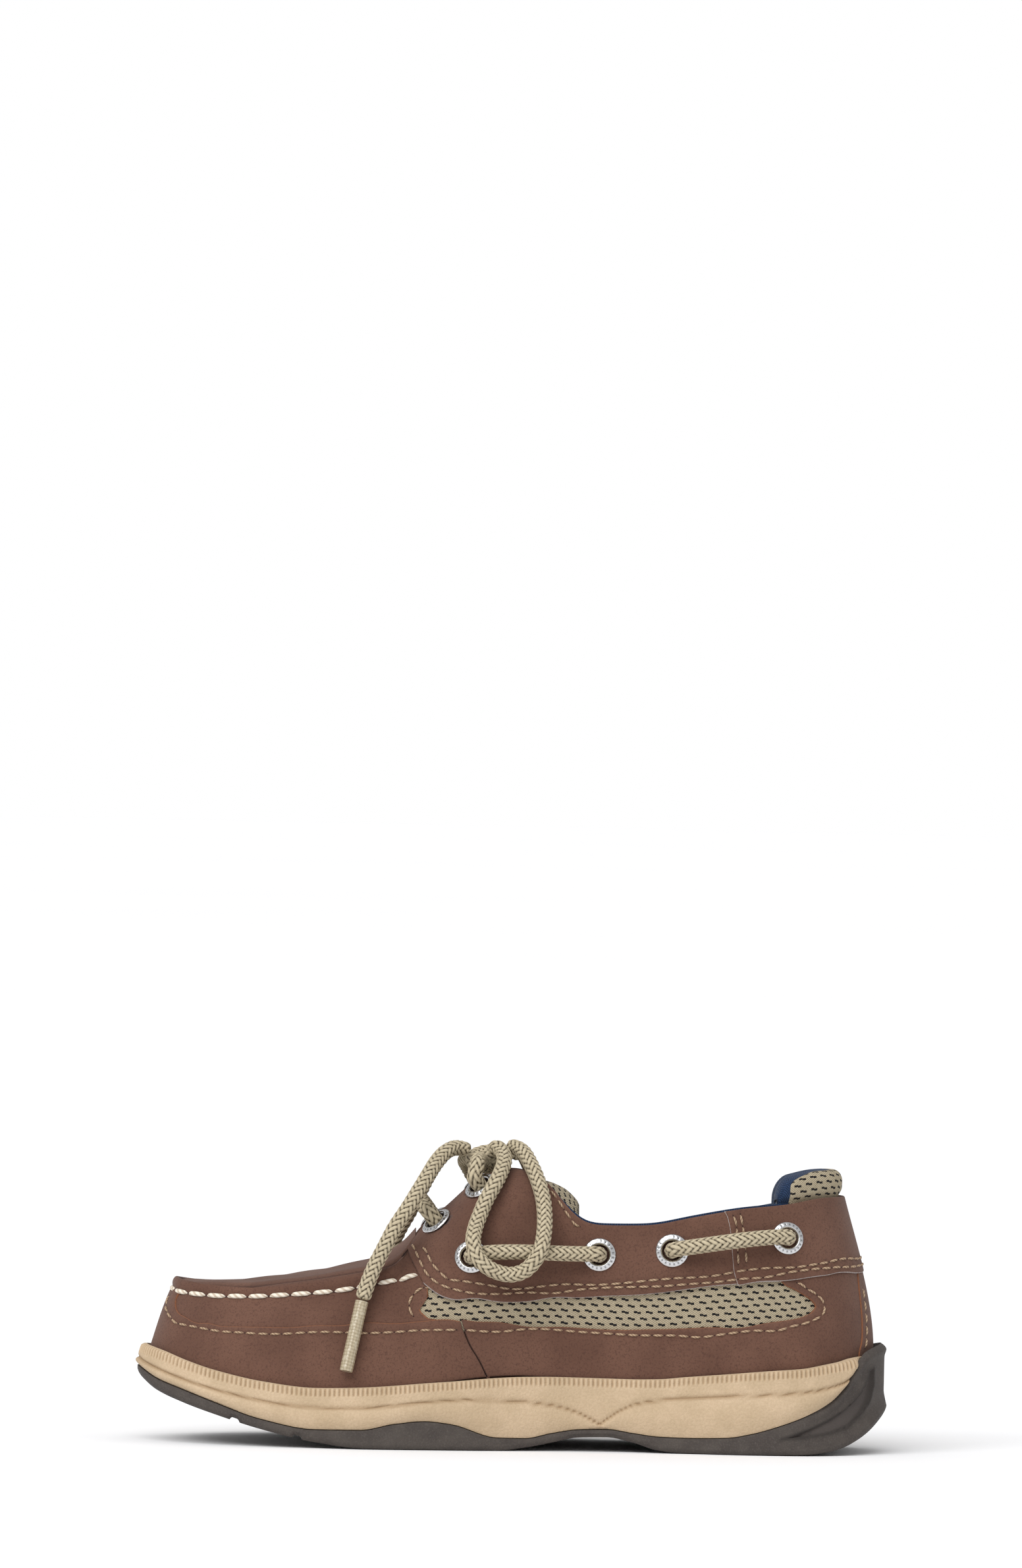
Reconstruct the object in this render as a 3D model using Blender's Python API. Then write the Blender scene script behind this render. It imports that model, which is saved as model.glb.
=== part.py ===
"""Boat shoe for the right foot, in a child's size.

The toe points to -X, the medial side (big toe, arch) is at -Y, and the sole stands on Z = 0.
The whole form comes from one table of sections round the last. Every piece that touches
the last, such as upper, midsole, insole and collar pad, reads that table.
"""

import bpy
import bmesh
import numpy as np
from math import cos, pi, sin
from mathutils import Vector

# Driving sizes of the last, in metres
LENGTH = 0.222
BALL_WIDTH = 0.082
INSTEP_HEIGHT = 0.0826
SOLE_HEIGHT = 0.020

# Thicknesses and clearances
GAP = 0.0003
WALL = 0.002
CUP_DEPTH = 0.004
OUTSOLE_WALL = 0.0022
OUTSOLE_PLATE = 0.0016
OUTSOLE_ROUND = 0.0016
SOLE_INNER = 0.009
RIM_LEAST = 0.003
RIM_COVER = 0.002
RIM_FLARE = 0.35
INSOLE_THICKNESS = 0.003
INSOLE_BEVEL = 0.0013
FLOOR_INNER = 0.012
TONGUE_THICKNESS = 0.0035
PAD_THICKNESS = 0.006
PAD_RISE = 0.0072
PAD_END_RISE = 0.0012
PAD_DEPTH = 0.009
PAD_LEAN = 0.0016
PAD_FRONT = 0.835

# Eyelets and lace; the eyelet's hole follows the lace that passes through it
LACE = 0.0047
LACE_ROOM = 0.0006
EYELET_WALL = 0.00035
EYELET_HOLE = LACE + 2 * LACE_ROOM
EYELET_OUTER = 0.0098
EYELET_TUBE = EYELET_HOLE + 2 * EYELET_WALL
EYELET_HEIGHT = 0.0011
EYELET_CURL = 0.0080
EYELET_BACK = 0.0018
LACE_HIDDEN = 0.0026
LACE_CLEAR = 0.0005
KNOT_CLEAR = 0.001
AGLET = 0.0039
KNOT = (0.0050, 0.0055, 0.0042)

# Mesh fineness
STATIONS = 80
LEVELS = 8
PLUG_STEPS = 6
ROUND = 10
FINE = 800
BLUR = 0.0032

# The last, one row for each section from toe tip to heel back.
# along: share of LENGTH. medial, lateral: share of BALL_WIDTH at the sole's edge.
# top_along: share of LENGTH. top_medial, top_lateral: share of BALL_WIDTH.
# top_high, lateral_drop, rise, flare, fall, lean: share of INSTEP_HEIGHT.
# inset: how far the leather stands inside the sole's edge, share of BALL_WIDTH.
# rise and flare place the wall's lower handle, fall and lean its upper one.
LAST_COLUMNS = ("along", "medial", "lateral", "top_along", "top_medial", "top_lateral",
                "top_high", "lateral_drop", "inset", "rise", "flare", "fall", "lean")
LAST = (
    (0.000, -0.134, -0.134, 0.048, -0.095, -0.095, 0.577, 0.000, 0.036, 0.09, -0.028, 0.07, 0.040),
    (0.016, -0.262, -0.006, 0.054, -0.171, -0.024, 0.574, 0.000, 0.036, 0.09, -0.024, 0.07, 0.045),
    (0.050, -0.360, 0.152, 0.078, -0.232, 0.085, 0.571, 0.005, 0.036, 0.09, -0.018, 0.07, 0.052),
    (0.108, -0.439, 0.305, 0.131, -0.287, 0.195, 0.572, 0.010, 0.036, 0.10, -0.010, 0.07, 0.060),
    (0.198, -0.488, 0.433, 0.206, -0.329, 0.293, 0.595, 0.012, 0.036, 0.12, 0.000, 0.08, 0.062),
    (0.297, -0.500, 0.494, 0.298, -0.350, 0.345, 0.638, 0.012, 0.036, 0.14, 0.004, 0.09, 0.060),
    (0.342, -0.492, 0.500, 0.348, -0.348, 0.348, 0.668, 0.010, 0.036, 0.16, 0.004, 0.09, 0.060),
    (0.378, -0.476, 0.500, 0.371, -0.145, 0.145, 0.772, 0.006, 0.036, 0.28, 0.008, 0.005, 0.205),
    (0.414, -0.460, 0.498, 0.405, -0.146, 0.146, 0.842, 0.012, 0.036, 0.35, 0.008, 0.000, 0.215),
    (0.450, -0.440, 0.491, 0.446, -0.159, 0.159, 0.954, 0.012, 0.036, 0.41, 0.008, 0.005, 0.210),
    (0.495, -0.409, 0.476, 0.491, -0.189, 0.189, 0.998, 0.012, 0.036, 0.42, 0.012, 0.040, 0.180),
    (0.541, -0.384, 0.457, 0.533, -0.232, 0.232, 0.979, 0.017, 0.036, 0.36, 0.016, 0.13, 0.100),
    (0.572, -0.371, 0.445, 0.563, -0.276, 0.280, 0.884, 0.024, 0.036, 0.30, 0.020, 0.15, 0.050),
    (0.599, -0.365, 0.435, 0.592, -0.302, 0.310, 0.809, 0.030, 0.037, 0.22, 0.024, 0.16, 0.034),
    (0.676, -0.359, 0.415, 0.671, -0.302, 0.312, 0.811, 0.036, 0.038, 0.20, 0.026, 0.17, 0.034),
    (0.743, -0.366, 0.399, 0.734, -0.295, 0.302, 0.843, 0.036, 0.040, 0.20, 0.026, 0.18, 0.034),
    (0.811, -0.378, 0.388, 0.802, -0.274, 0.280, 0.876, 0.028, 0.044, 0.20, 0.020, 0.18, 0.036),
    (0.883, -0.360, 0.360, 0.857, -0.230, 0.234, 0.891, 0.012, 0.050, 0.20, 0.014, 0.18, 0.040),
    (0.950, -0.274, 0.274, 0.905, -0.151, 0.153, 0.915, 0.003, 0.056, 0.20, 0.014, 0.18, 0.044),
    (0.986, -0.146, 0.146, 0.927, -0.085, 0.085, 0.917, 0.000, 0.058, 0.20, 0.016, 0.18, 0.046),
    (1.000, 0.000, 0.000, 0.935, 0.000, 0.000, 0.917, 0.000, 0.058, 0.20, 0.016, 0.18, 0.048),
)

# The sole seen from the side. along: share of LENGTH. The others: share of SOLE_HEIGHT.
# bottom: the tread. wave: the outsole's upper edge. band: the midsole's upper edge.
SOLE_COLUMNS = ("along", "bottom", "wave", "band")
SOLE = (
    (0.000, 0.98, 1.10, 1.42),
    (0.027, 0.77, 0.93, 1.35),
    (0.063, 0.61, 0.79, 1.22),
    (0.099, 0.48, 0.65, 1.11),
    (0.168, 0.26, 0.40, 0.96),
    (0.239, 0.09, 0.27, 0.885),
    (0.300, 0.01, 0.275, 0.905),
    (0.345, 0.00, 0.37, 0.94),
    (0.385, 0.00, 0.415, 0.98),
    (0.420, 0.00, 0.375, 1.01),
    (0.482, 0.00, 0.185, 1.07),
    (0.518, 0.05, 0.18, 1.09),
    (0.554, 0.13, 0.26, 1.095),
    (0.590, 0.21, 0.32, 1.09),
    (0.626, 0.22, 0.33, 1.085),
    (0.660, 0.15, 0.28, 1.08),
    (0.694, 0.04, 0.235, 1.09),
    (0.730, 0.00, 0.225, 1.13),
    (0.784, 0.00, 0.24, 1.185),
    (0.818, 0.00, 0.305, 1.22),
    (0.851, 0.00, 0.41, 1.25),
    (0.887, 0.01, 0.56, 1.28),
    (0.923, 0.06, 0.78, 1.345),
    (0.941, 0.12, 0.98, 1.38),
    (0.959, 0.22, 1.28, 1.43),
    (0.977, 0.36, 1.52, 1.45),
    (1.000, 0.62, 1.62, 1.45),
)

# The midsole's flank from its foot to its rim: depth inside the sole's edge, share of its height
MIDSOLE_FLANK = ((0.0004, 0.02), (0.0, 0.30), (0.0005, 0.70), (0.0011, 1.0))

# The moccasin plug's swell above the line between its seams. along: share of LENGTH.
# swell: share of INSTEP_HEIGHT.
PLUG_COLUMNS = ("along", "swell")
PLUG = (
    (0.048, 0.000),
    (0.130, 0.006),
    (0.250, 0.010),
    (0.310, 0.022),
    (0.345, 0.044),
    (0.375, 0.020),
)

# Flex grooves cut across the tread: place along the shoe, share of LENGTH
FLEX_GROOVES = (0.133, 0.216)
GROOVE_WIDTH = 0.0028
GROOVE_DEPTH = 0.0009
GROOVE_REACH = 0.01

# The tongue, one row for each section. along: share of LENGTH. high, crown: share of
# INSTEP_HEIGHT. half_width: share of BALL_WIDTH. thick: share of TONGUE_THICKNESS.
TONGUE_COLUMNS = ("along", "high", "crown", "half_width", "thick")
TONGUE = (
    (0.338, 0.660, 0.030, 0.180, 0.60),
    (0.378, 0.730, 0.050, 0.205, 1.00),
    (0.414, 0.805, 0.065, 0.215, 1.00),
    (0.450, 0.905, 0.080, 0.220, 1.00),
    (0.495, 0.955, 0.090, 0.225, 1.10),
    (0.536, 0.950, 0.090, 0.225, 1.30),
    (0.563, 0.925, 0.100, 0.225, 1.50),
    (0.584, 0.890, 0.105, 0.215, 1.20),
)
TONGUE_ACROSS = 10

# Side eyelets: place along (share of LENGTH) and height (share of INSTEP_HEIGHT)
SIDE_EYELETS = (("a", 0.444, 0.689), ("b", 0.613, 0.699), ("c", 0.708, 0.720), ("d", 0.861, 0.771))
LATERAL_EYELET_DROP = 0.025
# Top eyelets: place along (share of LENGTH); the width of leather outside the throat's edge
TOP_EYELETS = (("1", 0.394), ("2", 0.447))
EYELET_MARGIN = 0.0062

# The lace's free runs, in millimetres from the toe tip, the shoe's middle line and the floor.
# These points are the lace's own and stay as chosen when the shoe changes.
KNOT_PLACE = (101.1, -5.0, 84.6)
LOOP_MEDIAL = (
    (104.6, -10.8, 88.2), (106.6, -14.0, 87.0), (107.2, -18.2, 84.6), (106.2, -22.8, 81.4),
    (104.4, -26.6, 77.8), (102.2, -29.0, 73.8), (100.4, -31.2, 69.4), (99.0, -34.0, 65.2),
    (98.6, -38.0, 61.2), (99.6, -39.6, 57.6), (102.2, -39.8, 54.8), (106.0, -38.6, 52.8),
    (110.3, -38.0, 52.2), (113.8, -38.2, 53.4), (116.6, -38.6, 56.2), (118.4, -37.8, 59.8),
    (119.3, -34.6, 64.4), (119.4, -30.6, 69.4), (118.8, -27.0, 74.2), (117.4, -23.8, 78.8),
    (115.2, -19.6, 83.6), (112.4, -14.0, 87.6), (109.0, -8.5, 88.8),
)
LOOP_LATERAL = (
    (105.2, 2.0, 86.2), (106.8, 6.6, 85.4), (107.0, 13.0, 85.0), (106.0, 20.0, 82.0),
    (104.0, 26.0, 77.0), (101.8, 30.0, 72.5), (100.2, 34.0, 68.0), (99.0, 38.2, 63.4),
    (98.6, 41.2, 59.6), (99.8, 42.6, 55.8), (102.6, 42.6, 52.6), (106.4, 42.0, 50.6),
    (110.6, 41.4, 50.0), (114.4, 41.2, 51.4), (117.0, 41.4, 54.2), (118.4, 39.8, 58.2),
    (119.0, 36.4, 63.2), (118.8, 32.0, 68.6), (117.8, 27.8, 73.8), (116.0, 23.6, 78.8),
    (114.0, 18.2, 83.4), (112.4, 8.0, 86.2), (110.2, -0.4, 86.6),
)
END_MEDIAL = (
    (95.0, -8.5, 87.6), (92.3, -10.5, 87.9), (90.0, -13.5, 86.9), (87.8, -16.5, 84.6),
    (85.6, -20.5, 81.4), (82.7, -25.0, 76.6), (79.0, -29.5, 70.5), (75.2, -32.0, 64.6),
    (72.4, -33.5, 59.0), (69.6, -34.5, 53.3), (67.9, -35.3, 48.9), (66.3, -36.2, 43.7),
)
END_LATERAL = (
    (95.2, -1.0, 87.2), (92.4, 3.0, 87.4), (89.8, 8.0, 86.0), (87.2, 14.0, 83.0),
    (84.6, 20.0, 78.4), (81.8, 25.5, 72.4), (79.1, 30.0, 66.9), (75.8, 33.4, 60.6),
    (73.6, 35.8, 54.5), (72.6, 37.8, 48.5), (71.8, 39.4, 42.6),
)
LEG_MEDIAL = ((99.0, -19.8, 82.6), (99.6, -13.2, 84.6))
LEG_LATERAL = ((96.2, 17.0, 81.8), (95.6, 10.5, 83.6), (97.6, 3.6, 84.5))
AGLET_MEDIAL = ((66.2, -36.4, 43.3), (62.0, -40.4, 22.9))
AGLET_LATERAL = ((71.7, 39.6, 42.2), (70.2, 42.2, 22.3))


def table(rows, columns):
    """A table's columns by name, as arrays."""
    return dict(zip(columns, np.array(rows, float).T))


def slopes(x, y):
    """Slopes at the rows that keep a curve between its rows from swinging past them."""
    step = np.diff(y) / np.diff(x)
    inner = np.where(step[:-1] * step[1:] > 0,
                     2 * step[:-1] * step[1:] / (step[:-1] + step[1:] + 1e-30), 0)
    return np.concatenate([[step[0]], inner, [step[-1]]])


def curve(x, y, at):
    """The smooth curve through the rows (x, y), read at the places in at."""
    slope = slopes(x, y)
    k = np.clip(np.searchsorted(x, at) - 1, 0, len(x) - 2)
    wide = x[k + 1] - x[k]
    t = np.clip((at - x[k]) / wide, 0, 1)
    return ((2 * t**3 - 3 * t**2 + 1) * y[k] + (t**3 - 2 * t**2 + t) * wide * slope[k]
            + (3 * t**2 - 2 * t**3) * y[k + 1] + (t**3 - t**2) * wide * slope[k + 1])


def round_curve(x, y, at):
    """A closed curve through the rows, one turn long: three turns are joined, the middle one read."""
    turn = 1.0
    long_x = np.concatenate([x - turn, x, x + turn])
    return curve(long_x, np.tile(y, 3), at)


def blurred(y, width):
    """A closed row of samples smoothed with a bell of the given width, share of the turn."""
    n = len(y)
    place = np.minimum(np.arange(n), n - np.arange(n)) / n
    bell = np.exp(-0.5 * (place / width) ** 2)
    return np.real(np.fft.ifft(np.fft.fft(y) * np.fft.fft(bell / bell.sum())))


def last_rings(count):
    """The last's columns at count stations round the shoe: toe tip, medial side, heel, lateral side."""
    rows = table(LAST, LAST_COLUMNS)
    half = len(rows["along"])
    back = np.arange(half - 2, 0, -1)
    both = {
        "x": np.concatenate([rows["along"], rows["along"][back]]) * LENGTH,
        "y": np.concatenate([rows["medial"], rows["lateral"][back]]) * BALL_WIDTH,
        "top_x": np.concatenate([rows["top_along"], rows["top_along"][back]]) * LENGTH,
        "top_y": np.concatenate([rows["top_medial"], rows["top_lateral"][back]]) * BALL_WIDTH,
        "top_z": np.concatenate([rows["top_high"],
                                 (rows["top_high"] - rows["lateral_drop"])[back]]) * INSTEP_HEIGHT,
        "inset": np.concatenate([rows["inset"], rows["inset"][back]]) * BALL_WIDTH,
    }
    for name in ("rise", "flare", "fall", "lean"):
        both[name] = np.concatenate([rows[name], rows[name][back]]) * INSTEP_HEIGHT
    mean_half = (rows["lateral"] - rows["medial"]) / 2 * BALL_WIDTH
    run = np.hypot(np.diff(rows["along"] * LENGTH), np.diff(mean_half))
    one_side = np.concatenate([[0], np.cumsum(run)]) / run.sum() / 2
    knots = np.concatenate([one_side, 1 - one_side[back]])
    fine = np.arange(FINE) / FINE
    around = 2 * run.sum()
    rings = {name: blurred(round_curve(knots, values, fine), BLUR / around)
             for name, values in both.items()}
    low, high = rings["x"].min(), rings["x"].max()
    rings["x"] = (rings["x"] - low) / (high - low) * LENGTH
    pick = np.arange(count) * FINE // count
    step = {name: np.roll(rings[name], -1) - np.roll(rings[name], 1) for name in ("x", "y")}
    size = np.hypot(step["x"], step["y"])
    rings["out_x"], rings["out_y"] = -step["y"] / size, step["x"] / size
    middle = (rings["y"].max() + rings["y"].min()) / 2
    rings["y"] -= middle
    rings["top_y"] -= middle
    if np.mean(rings["out_y"] * rings["y"]) < 0:
        rings["out_x"], rings["out_y"] = -rings["out_x"], -rings["out_y"]
    return {name: values[pick] for name, values in rings.items()}


SIDE = table(SOLE, SOLE_COLUMNS)


def sole_height(name, x):
    """The height of one of the sole's side curves at the place x along the shoe."""
    return curve(SIDE["along"], SIDE[name], np.clip(x / LENGTH, 0, 1)) * SOLE_HEIGHT


def inset_ring(rings, inset, name, lift=0.0):
    """The sole's edge moved inwards by inset, at the height of a side curve plus lift.

    The tread is a sheet bent along the shoe only, so its height is read at the moved place.
    """
    x = rings["x"] - inset * rings["out_x"]
    y = rings["y"] - inset * rings["out_y"]
    read_at = x if name == "bottom" else rings["x"]
    return np.stack([x, y, sole_height(name, read_at) + lift], 1)


def wall(rings, levels):
    """The outside of the upper: at each station a curve with two handles from feather edge to top."""
    out = np.stack([rings["out_x"], rings["out_y"], 0 * rings["x"]], 1)
    up = np.array([0, 0, 1.0])
    foot = inset_ring(rings, rings["inset"], "band", GAP - CUP_DEPTH)
    tip = np.maximum(-rings["flare"], 0) / np.hypot(rings["rise"], rings["flare"])
    foot[:, 2] += 1.2 * WALL * tip
    top = np.stack([rings["top_x"], rings["top_y"], rings["top_z"]], 1)
    low = foot + rings["rise"][:, None] * up + rings["flare"][:, None] * out
    high = top - rings["fall"][:, None] * up + rings["lean"][:, None] * out
    t = levels[None, :, None]
    foot, low, high, top = (p[:, None, :] for p in (foot, low, high, top))
    return (1 - t)**3 * foot + 3 * t * (1 - t)**2 * low + 3 * t**2 * (1 - t) * high + t**3 * top


def centred(points):
    """Points from toe-based places to the shoe's own frame, with the origin under its middle."""
    return np.asarray(points, float) - np.array([LENGTH / 2, 0, 0])


def material(name, colour, rough, metal=0.0):
    m = bpy.data.materials.new(name)
    m.use_nodes = True
    shader = m.node_tree.nodes["Principled BSDF"]
    shader.inputs["Base Color"].default_value = (*colour, 1)
    shader.inputs["Roughness"].default_value = rough
    shader.inputs["Metallic"].default_value = metal
    return m


def piece(name, points, faces, finish, smooth=True):
    """A mesh object from points and faces, with its faces turned outwards."""
    mesh = bpy.data.meshes.new(name)
    mesh.from_pydata([tuple(p) for p in points], [], [tuple(int(i) for i in f) for f in faces])
    bm = bmesh.new()
    bm.from_mesh(mesh)
    bmesh.ops.triangulate(bm, faces=[f for f in bm.faces if len(f.verts) > 3])
    bmesh.ops.recalc_face_normals(bm, faces=bm.faces)
    bm.to_mesh(mesh)
    bm.free()
    if smooth:
        mesh.shade_smooth()
        mesh.set_sharp_from_angle(angle=0.7)
    mesh.materials.append(finish)
    made = bpy.data.objects.new(name, mesh)
    bpy.context.collection.objects.link(made)
    return made


def ladder(count, start):
    """Faces that close a ring of count points across, from toe to heel, station facing station."""
    half = count // 2
    faces = [(start, start + 1, start + count - 1)]
    faces += [(start + k, start + k + 1, start + count - k - 1, start + count - k)
              for k in range(1, half - 1)]
    return faces + [(start + half - 1, start + half, start + half + 1)]


def ring_solid(name, rings, finish):
    """A closed solid from rings of equal count, closed across at the first and the last."""
    count = len(rings[0])
    faces = []
    for level in range(len(rings) - 1):
        a, b = level * count, (level + 1) * count
        faces += [(a + k, a + (k + 1) % count, b + (k + 1) % count, b + k) for k in range(count)]
    faces += ladder(count, 0) + ladder(count, (len(rings) - 1) * count)
    return piece(name, centred(np.concatenate(rings)), faces, finish)


def cut(target, cutter):
    """Subtracts a hidden cutter object from a piece."""
    cutter.hide_render = True
    cutter.display_type = "WIRE"
    taken = target.modifiers.new("cut", "BOOLEAN")
    taken.operation = "DIFFERENCE"
    taken.solver = "EXACT"
    taken.object = cutter


def outsole(rings, finish):
    """Rubber shell: tread plate with a low wall whose upper edge waves, and a cup behind the heel."""
    top = inset_ring(rings, 0.0, "wave")
    foot = inset_ring(rings, 0.0, "bottom", OUTSOLE_ROUND)
    foot[:, 2] = np.minimum(foot[:, 2], top[:, 2] - GAP)
    made = ring_solid("outsole", [
        inset_ring(rings, SOLE_INNER, "bottom"),
        inset_ring(rings, OUTSOLE_ROUND, "bottom"),
        inset_ring(rings, OUTSOLE_ROUND / 4, "bottom", 0.45 * OUTSOLE_ROUND),
        foot,
        top,
        inset_ring(rings, OUTSOLE_WALL, "wave"),
        inset_ring(rings, OUTSOLE_WALL, "bottom", OUTSOLE_PLATE),
        inset_ring(rings, SOLE_INNER, "bottom", OUTSOLE_PLATE),
    ], finish)
    for n, along in enumerate(FLEX_GROOVES):
        x = along * LENGTH
        ahead, behind = sole_height("bottom", np.array([x - GROOVE_WIDTH / 2, x + GROOVE_WIDTH / 2]))
        low = (ahead + behind) / 2
        tilt = np.arctan2(ahead - behind, GROOVE_WIDTH)
        box = [(sx * GROOVE_WIDTH / 2, sy * BALL_WIDTH * 0.7, sz)
               for sx in (-1, 1) for sy in (-1, 1) for sz in (-GROOVE_REACH, GROOVE_DEPTH)]
        turn = np.array([[cos(tilt), 0, sin(tilt)], [0, 1, 0], [-sin(tilt), 0, cos(tilt)]])
        corners = np.array(box) @ turn.T + [x, 0, low]
        sides = [(0, 1, 3, 2), (4, 5, 7, 6), (0, 1, 5, 4), (2, 3, 7, 6), (0, 2, 6, 4), (1, 3, 7, 5)]
        cut(made, piece(f"groove_{n}", centred(corners), sides, finish, smooth=False))
    return made


def midsole(rings, finish):
    """Foam unit set into the outsole, with a raised rim that the upper stands in."""
    hidden = OUTSOLE_WALL + GAP
    wave = sole_height("wave", rings["x"]) + GAP
    band = sole_height("band", rings["x"])
    tall = band - wave > RIM_LEAST
    free = (tall & np.roll(tall, 1) & np.roll(tall, -1)) * 1.0
    top = np.where(tall, band, np.minimum(band, wave - RIM_COVER))
    base = np.minimum(wave, top - RIM_LEAST)

    def flank(depth, share):
        ring = inset_ring(rings, hidden + (depth - hidden) * free, "band")
        ring[:, 2] = base + share * (top - base)
        return ring

    under = inset_ring(rings, SOLE_INNER, "bottom", OUTSOLE_PLATE + GAP)
    sunk = inset_ring(rings, hidden, "bottom", OUTSOLE_PLATE + GAP)
    step = inset_ring(rings, hidden, "band")
    step[:, 2] = np.maximum(base, sunk[:, 2] + GAP / 2)
    inner = rings["inset"] - GAP
    lip = inset_ring(rings, inner - RIM_FLARE * np.maximum(rings["flare"], 0), "band")
    lip[:, 2] = top
    well = inset_ring(rings, inner, "band", -CUP_DEPTH)
    floor = inset_ring(rings, FLOOR_INNER, "band", -CUP_DEPTH)
    flanks = [flank(depth, share) for depth, share in MIDSOLE_FLANK]
    return ring_solid("midsole", [under, sunk, step] + flanks + [lip, well, floor], finish)


def insole(rings, finish):
    """Footbed inside the upper, on the midsole's floor."""
    edge = rings["inset"] + WALL + 4 * GAP
    low = GAP - CUP_DEPTH
    high = low + INSOLE_THICKNESS
    return ring_solid("insole", [
        inset_ring(rings, 1.3 * FLOOR_INNER, "band", low),
        inset_ring(rings, edge, "band", low),
        inset_ring(rings, edge + INSOLE_BEVEL, "band", high),
        inset_ring(rings, 1.3 * FLOOR_INNER, "band", high),
    ], finish)


def throat_station(rings):
    """The station where the moccasin seam ends and the throat's edge begins."""
    half = STATIONS // 2
    front = (rings["top_y"][:half] < -0.2 * BALL_WIDTH) | (rings["top_x"][:half] < 0.2 * LENGTH)
    return int(np.argmin(front))


def upper(rings, finish):
    """One hollow solid: side walls all round, and the plug that closes the toe between the seams."""
    levels = np.linspace(0, 1, LEVELS)
    grid = wall(rings, levels)
    points = list(grid.reshape(-1, 3))
    faces = []
    for k in range(STATIONS):
        a, b = k * LEVELS, (k + 1) % STATIONS * LEVELS
        faces += [(a + v, b + v, b + v + 1, a + v + 1) for v in range(LEVELS - 1)]
    last = throat_station(rings)
    top = LEVELS - 1
    share = np.linspace(0, 1, PLUG_STEPS + 1)[1:-1]
    rows = {0: [top]}
    plug = table(PLUG, PLUG_COLUMNS)
    swells = curve(plug["along"], plug["swell"], rings["top_x"] / LENGTH) * INSTEP_HEIGHT
    for k in range(1, last + 1):
        medial, lateral = grid[k, top], grid[STATIONS - k, top]
        row = [k * LEVELS + top]
        for s in share:
            crown = swells[k] * (1 - (2 * s - 1) ** 2)
            points.append(medial + s * (lateral - medial) + np.array([0, 0, crown]))
            row.append(len(points) - 1)
        rows[k] = row + [(STATIONS - k) * LEVELS + top]
    faces += [(rows[0][0], rows[1][s + 1], rows[1][s]) for s in range(PLUG_STEPS)]
    for k in range(1, last):
        faces += [(rows[k][s], rows[k][s + 1], rows[k + 1][s + 1], rows[k + 1][s])
                  for s in range(PLUG_STEPS)]
    made = piece("upper", centred(points), faces, finish)
    shell = made.modifiers.new("leather", "SOLIDIFY")
    shell.thickness = WALL
    shell.offset = -1
    shell.use_even_offset = True
    shell.use_quality_normals = True
    return made


def tongue(finish):
    """Padded tongue under the throat, crowned across, thicker at its free end."""
    rows = table(TONGUE, TONGUE_COLUMNS)
    along = np.linspace(rows["along"][0], rows["along"][-1], 12)
    across = np.linspace(-1, 1, TONGUE_ACROSS + 1)
    read = {name: curve(rows["along"], rows[name], along)[:, None] for name in TONGUE_COLUMNS[1:]}
    x = along[:, None] * LENGTH + 0 * across
    y = across * read["half_width"] * BALL_WIDTH
    z = (read["high"] - read["crown"] * np.abs(across) ** 2.2) * INSTEP_HEIGHT
    thick = TONGUE_THICKNESS * read["thick"] * np.sqrt(1 - 0.75 * across**4)
    slope = np.gradient(read["high"][:, 0] * INSTEP_HEIGHT, along * LENGTH)[:, None]
    over = np.stack([x, y, z], 2)
    under = over + np.stack([thick * slope, 0 * x, -thick + 0 * x], 2) / np.sqrt(1 + slope**2)[..., None]
    count = over.shape[0] * over.shape[1]
    wide = over.shape[1]
    points = np.concatenate([over.reshape(-1, 3), under.reshape(-1, 3)])
    faces = []
    for i in range(over.shape[0] - 1):
        for j in range(wide - 1):
            a = i * wide + j
            faces += [(a, a + 1, a + wide + 1, a + wide),
                      (count + a, count + a + wide, count + a + wide + 1, count + a + 1)]
        for j in (0, wide - 1):
            a = i * wide + j
            faces.append((a, a + wide, count + a + wide, count + a))
    for j in range(wide - 1):
        for a in (j, count - wide + j):
            faces.append((a, a + 1, count + a + 1, count + a))
    return piece("tongue", centred(points), faces, finish)


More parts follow.
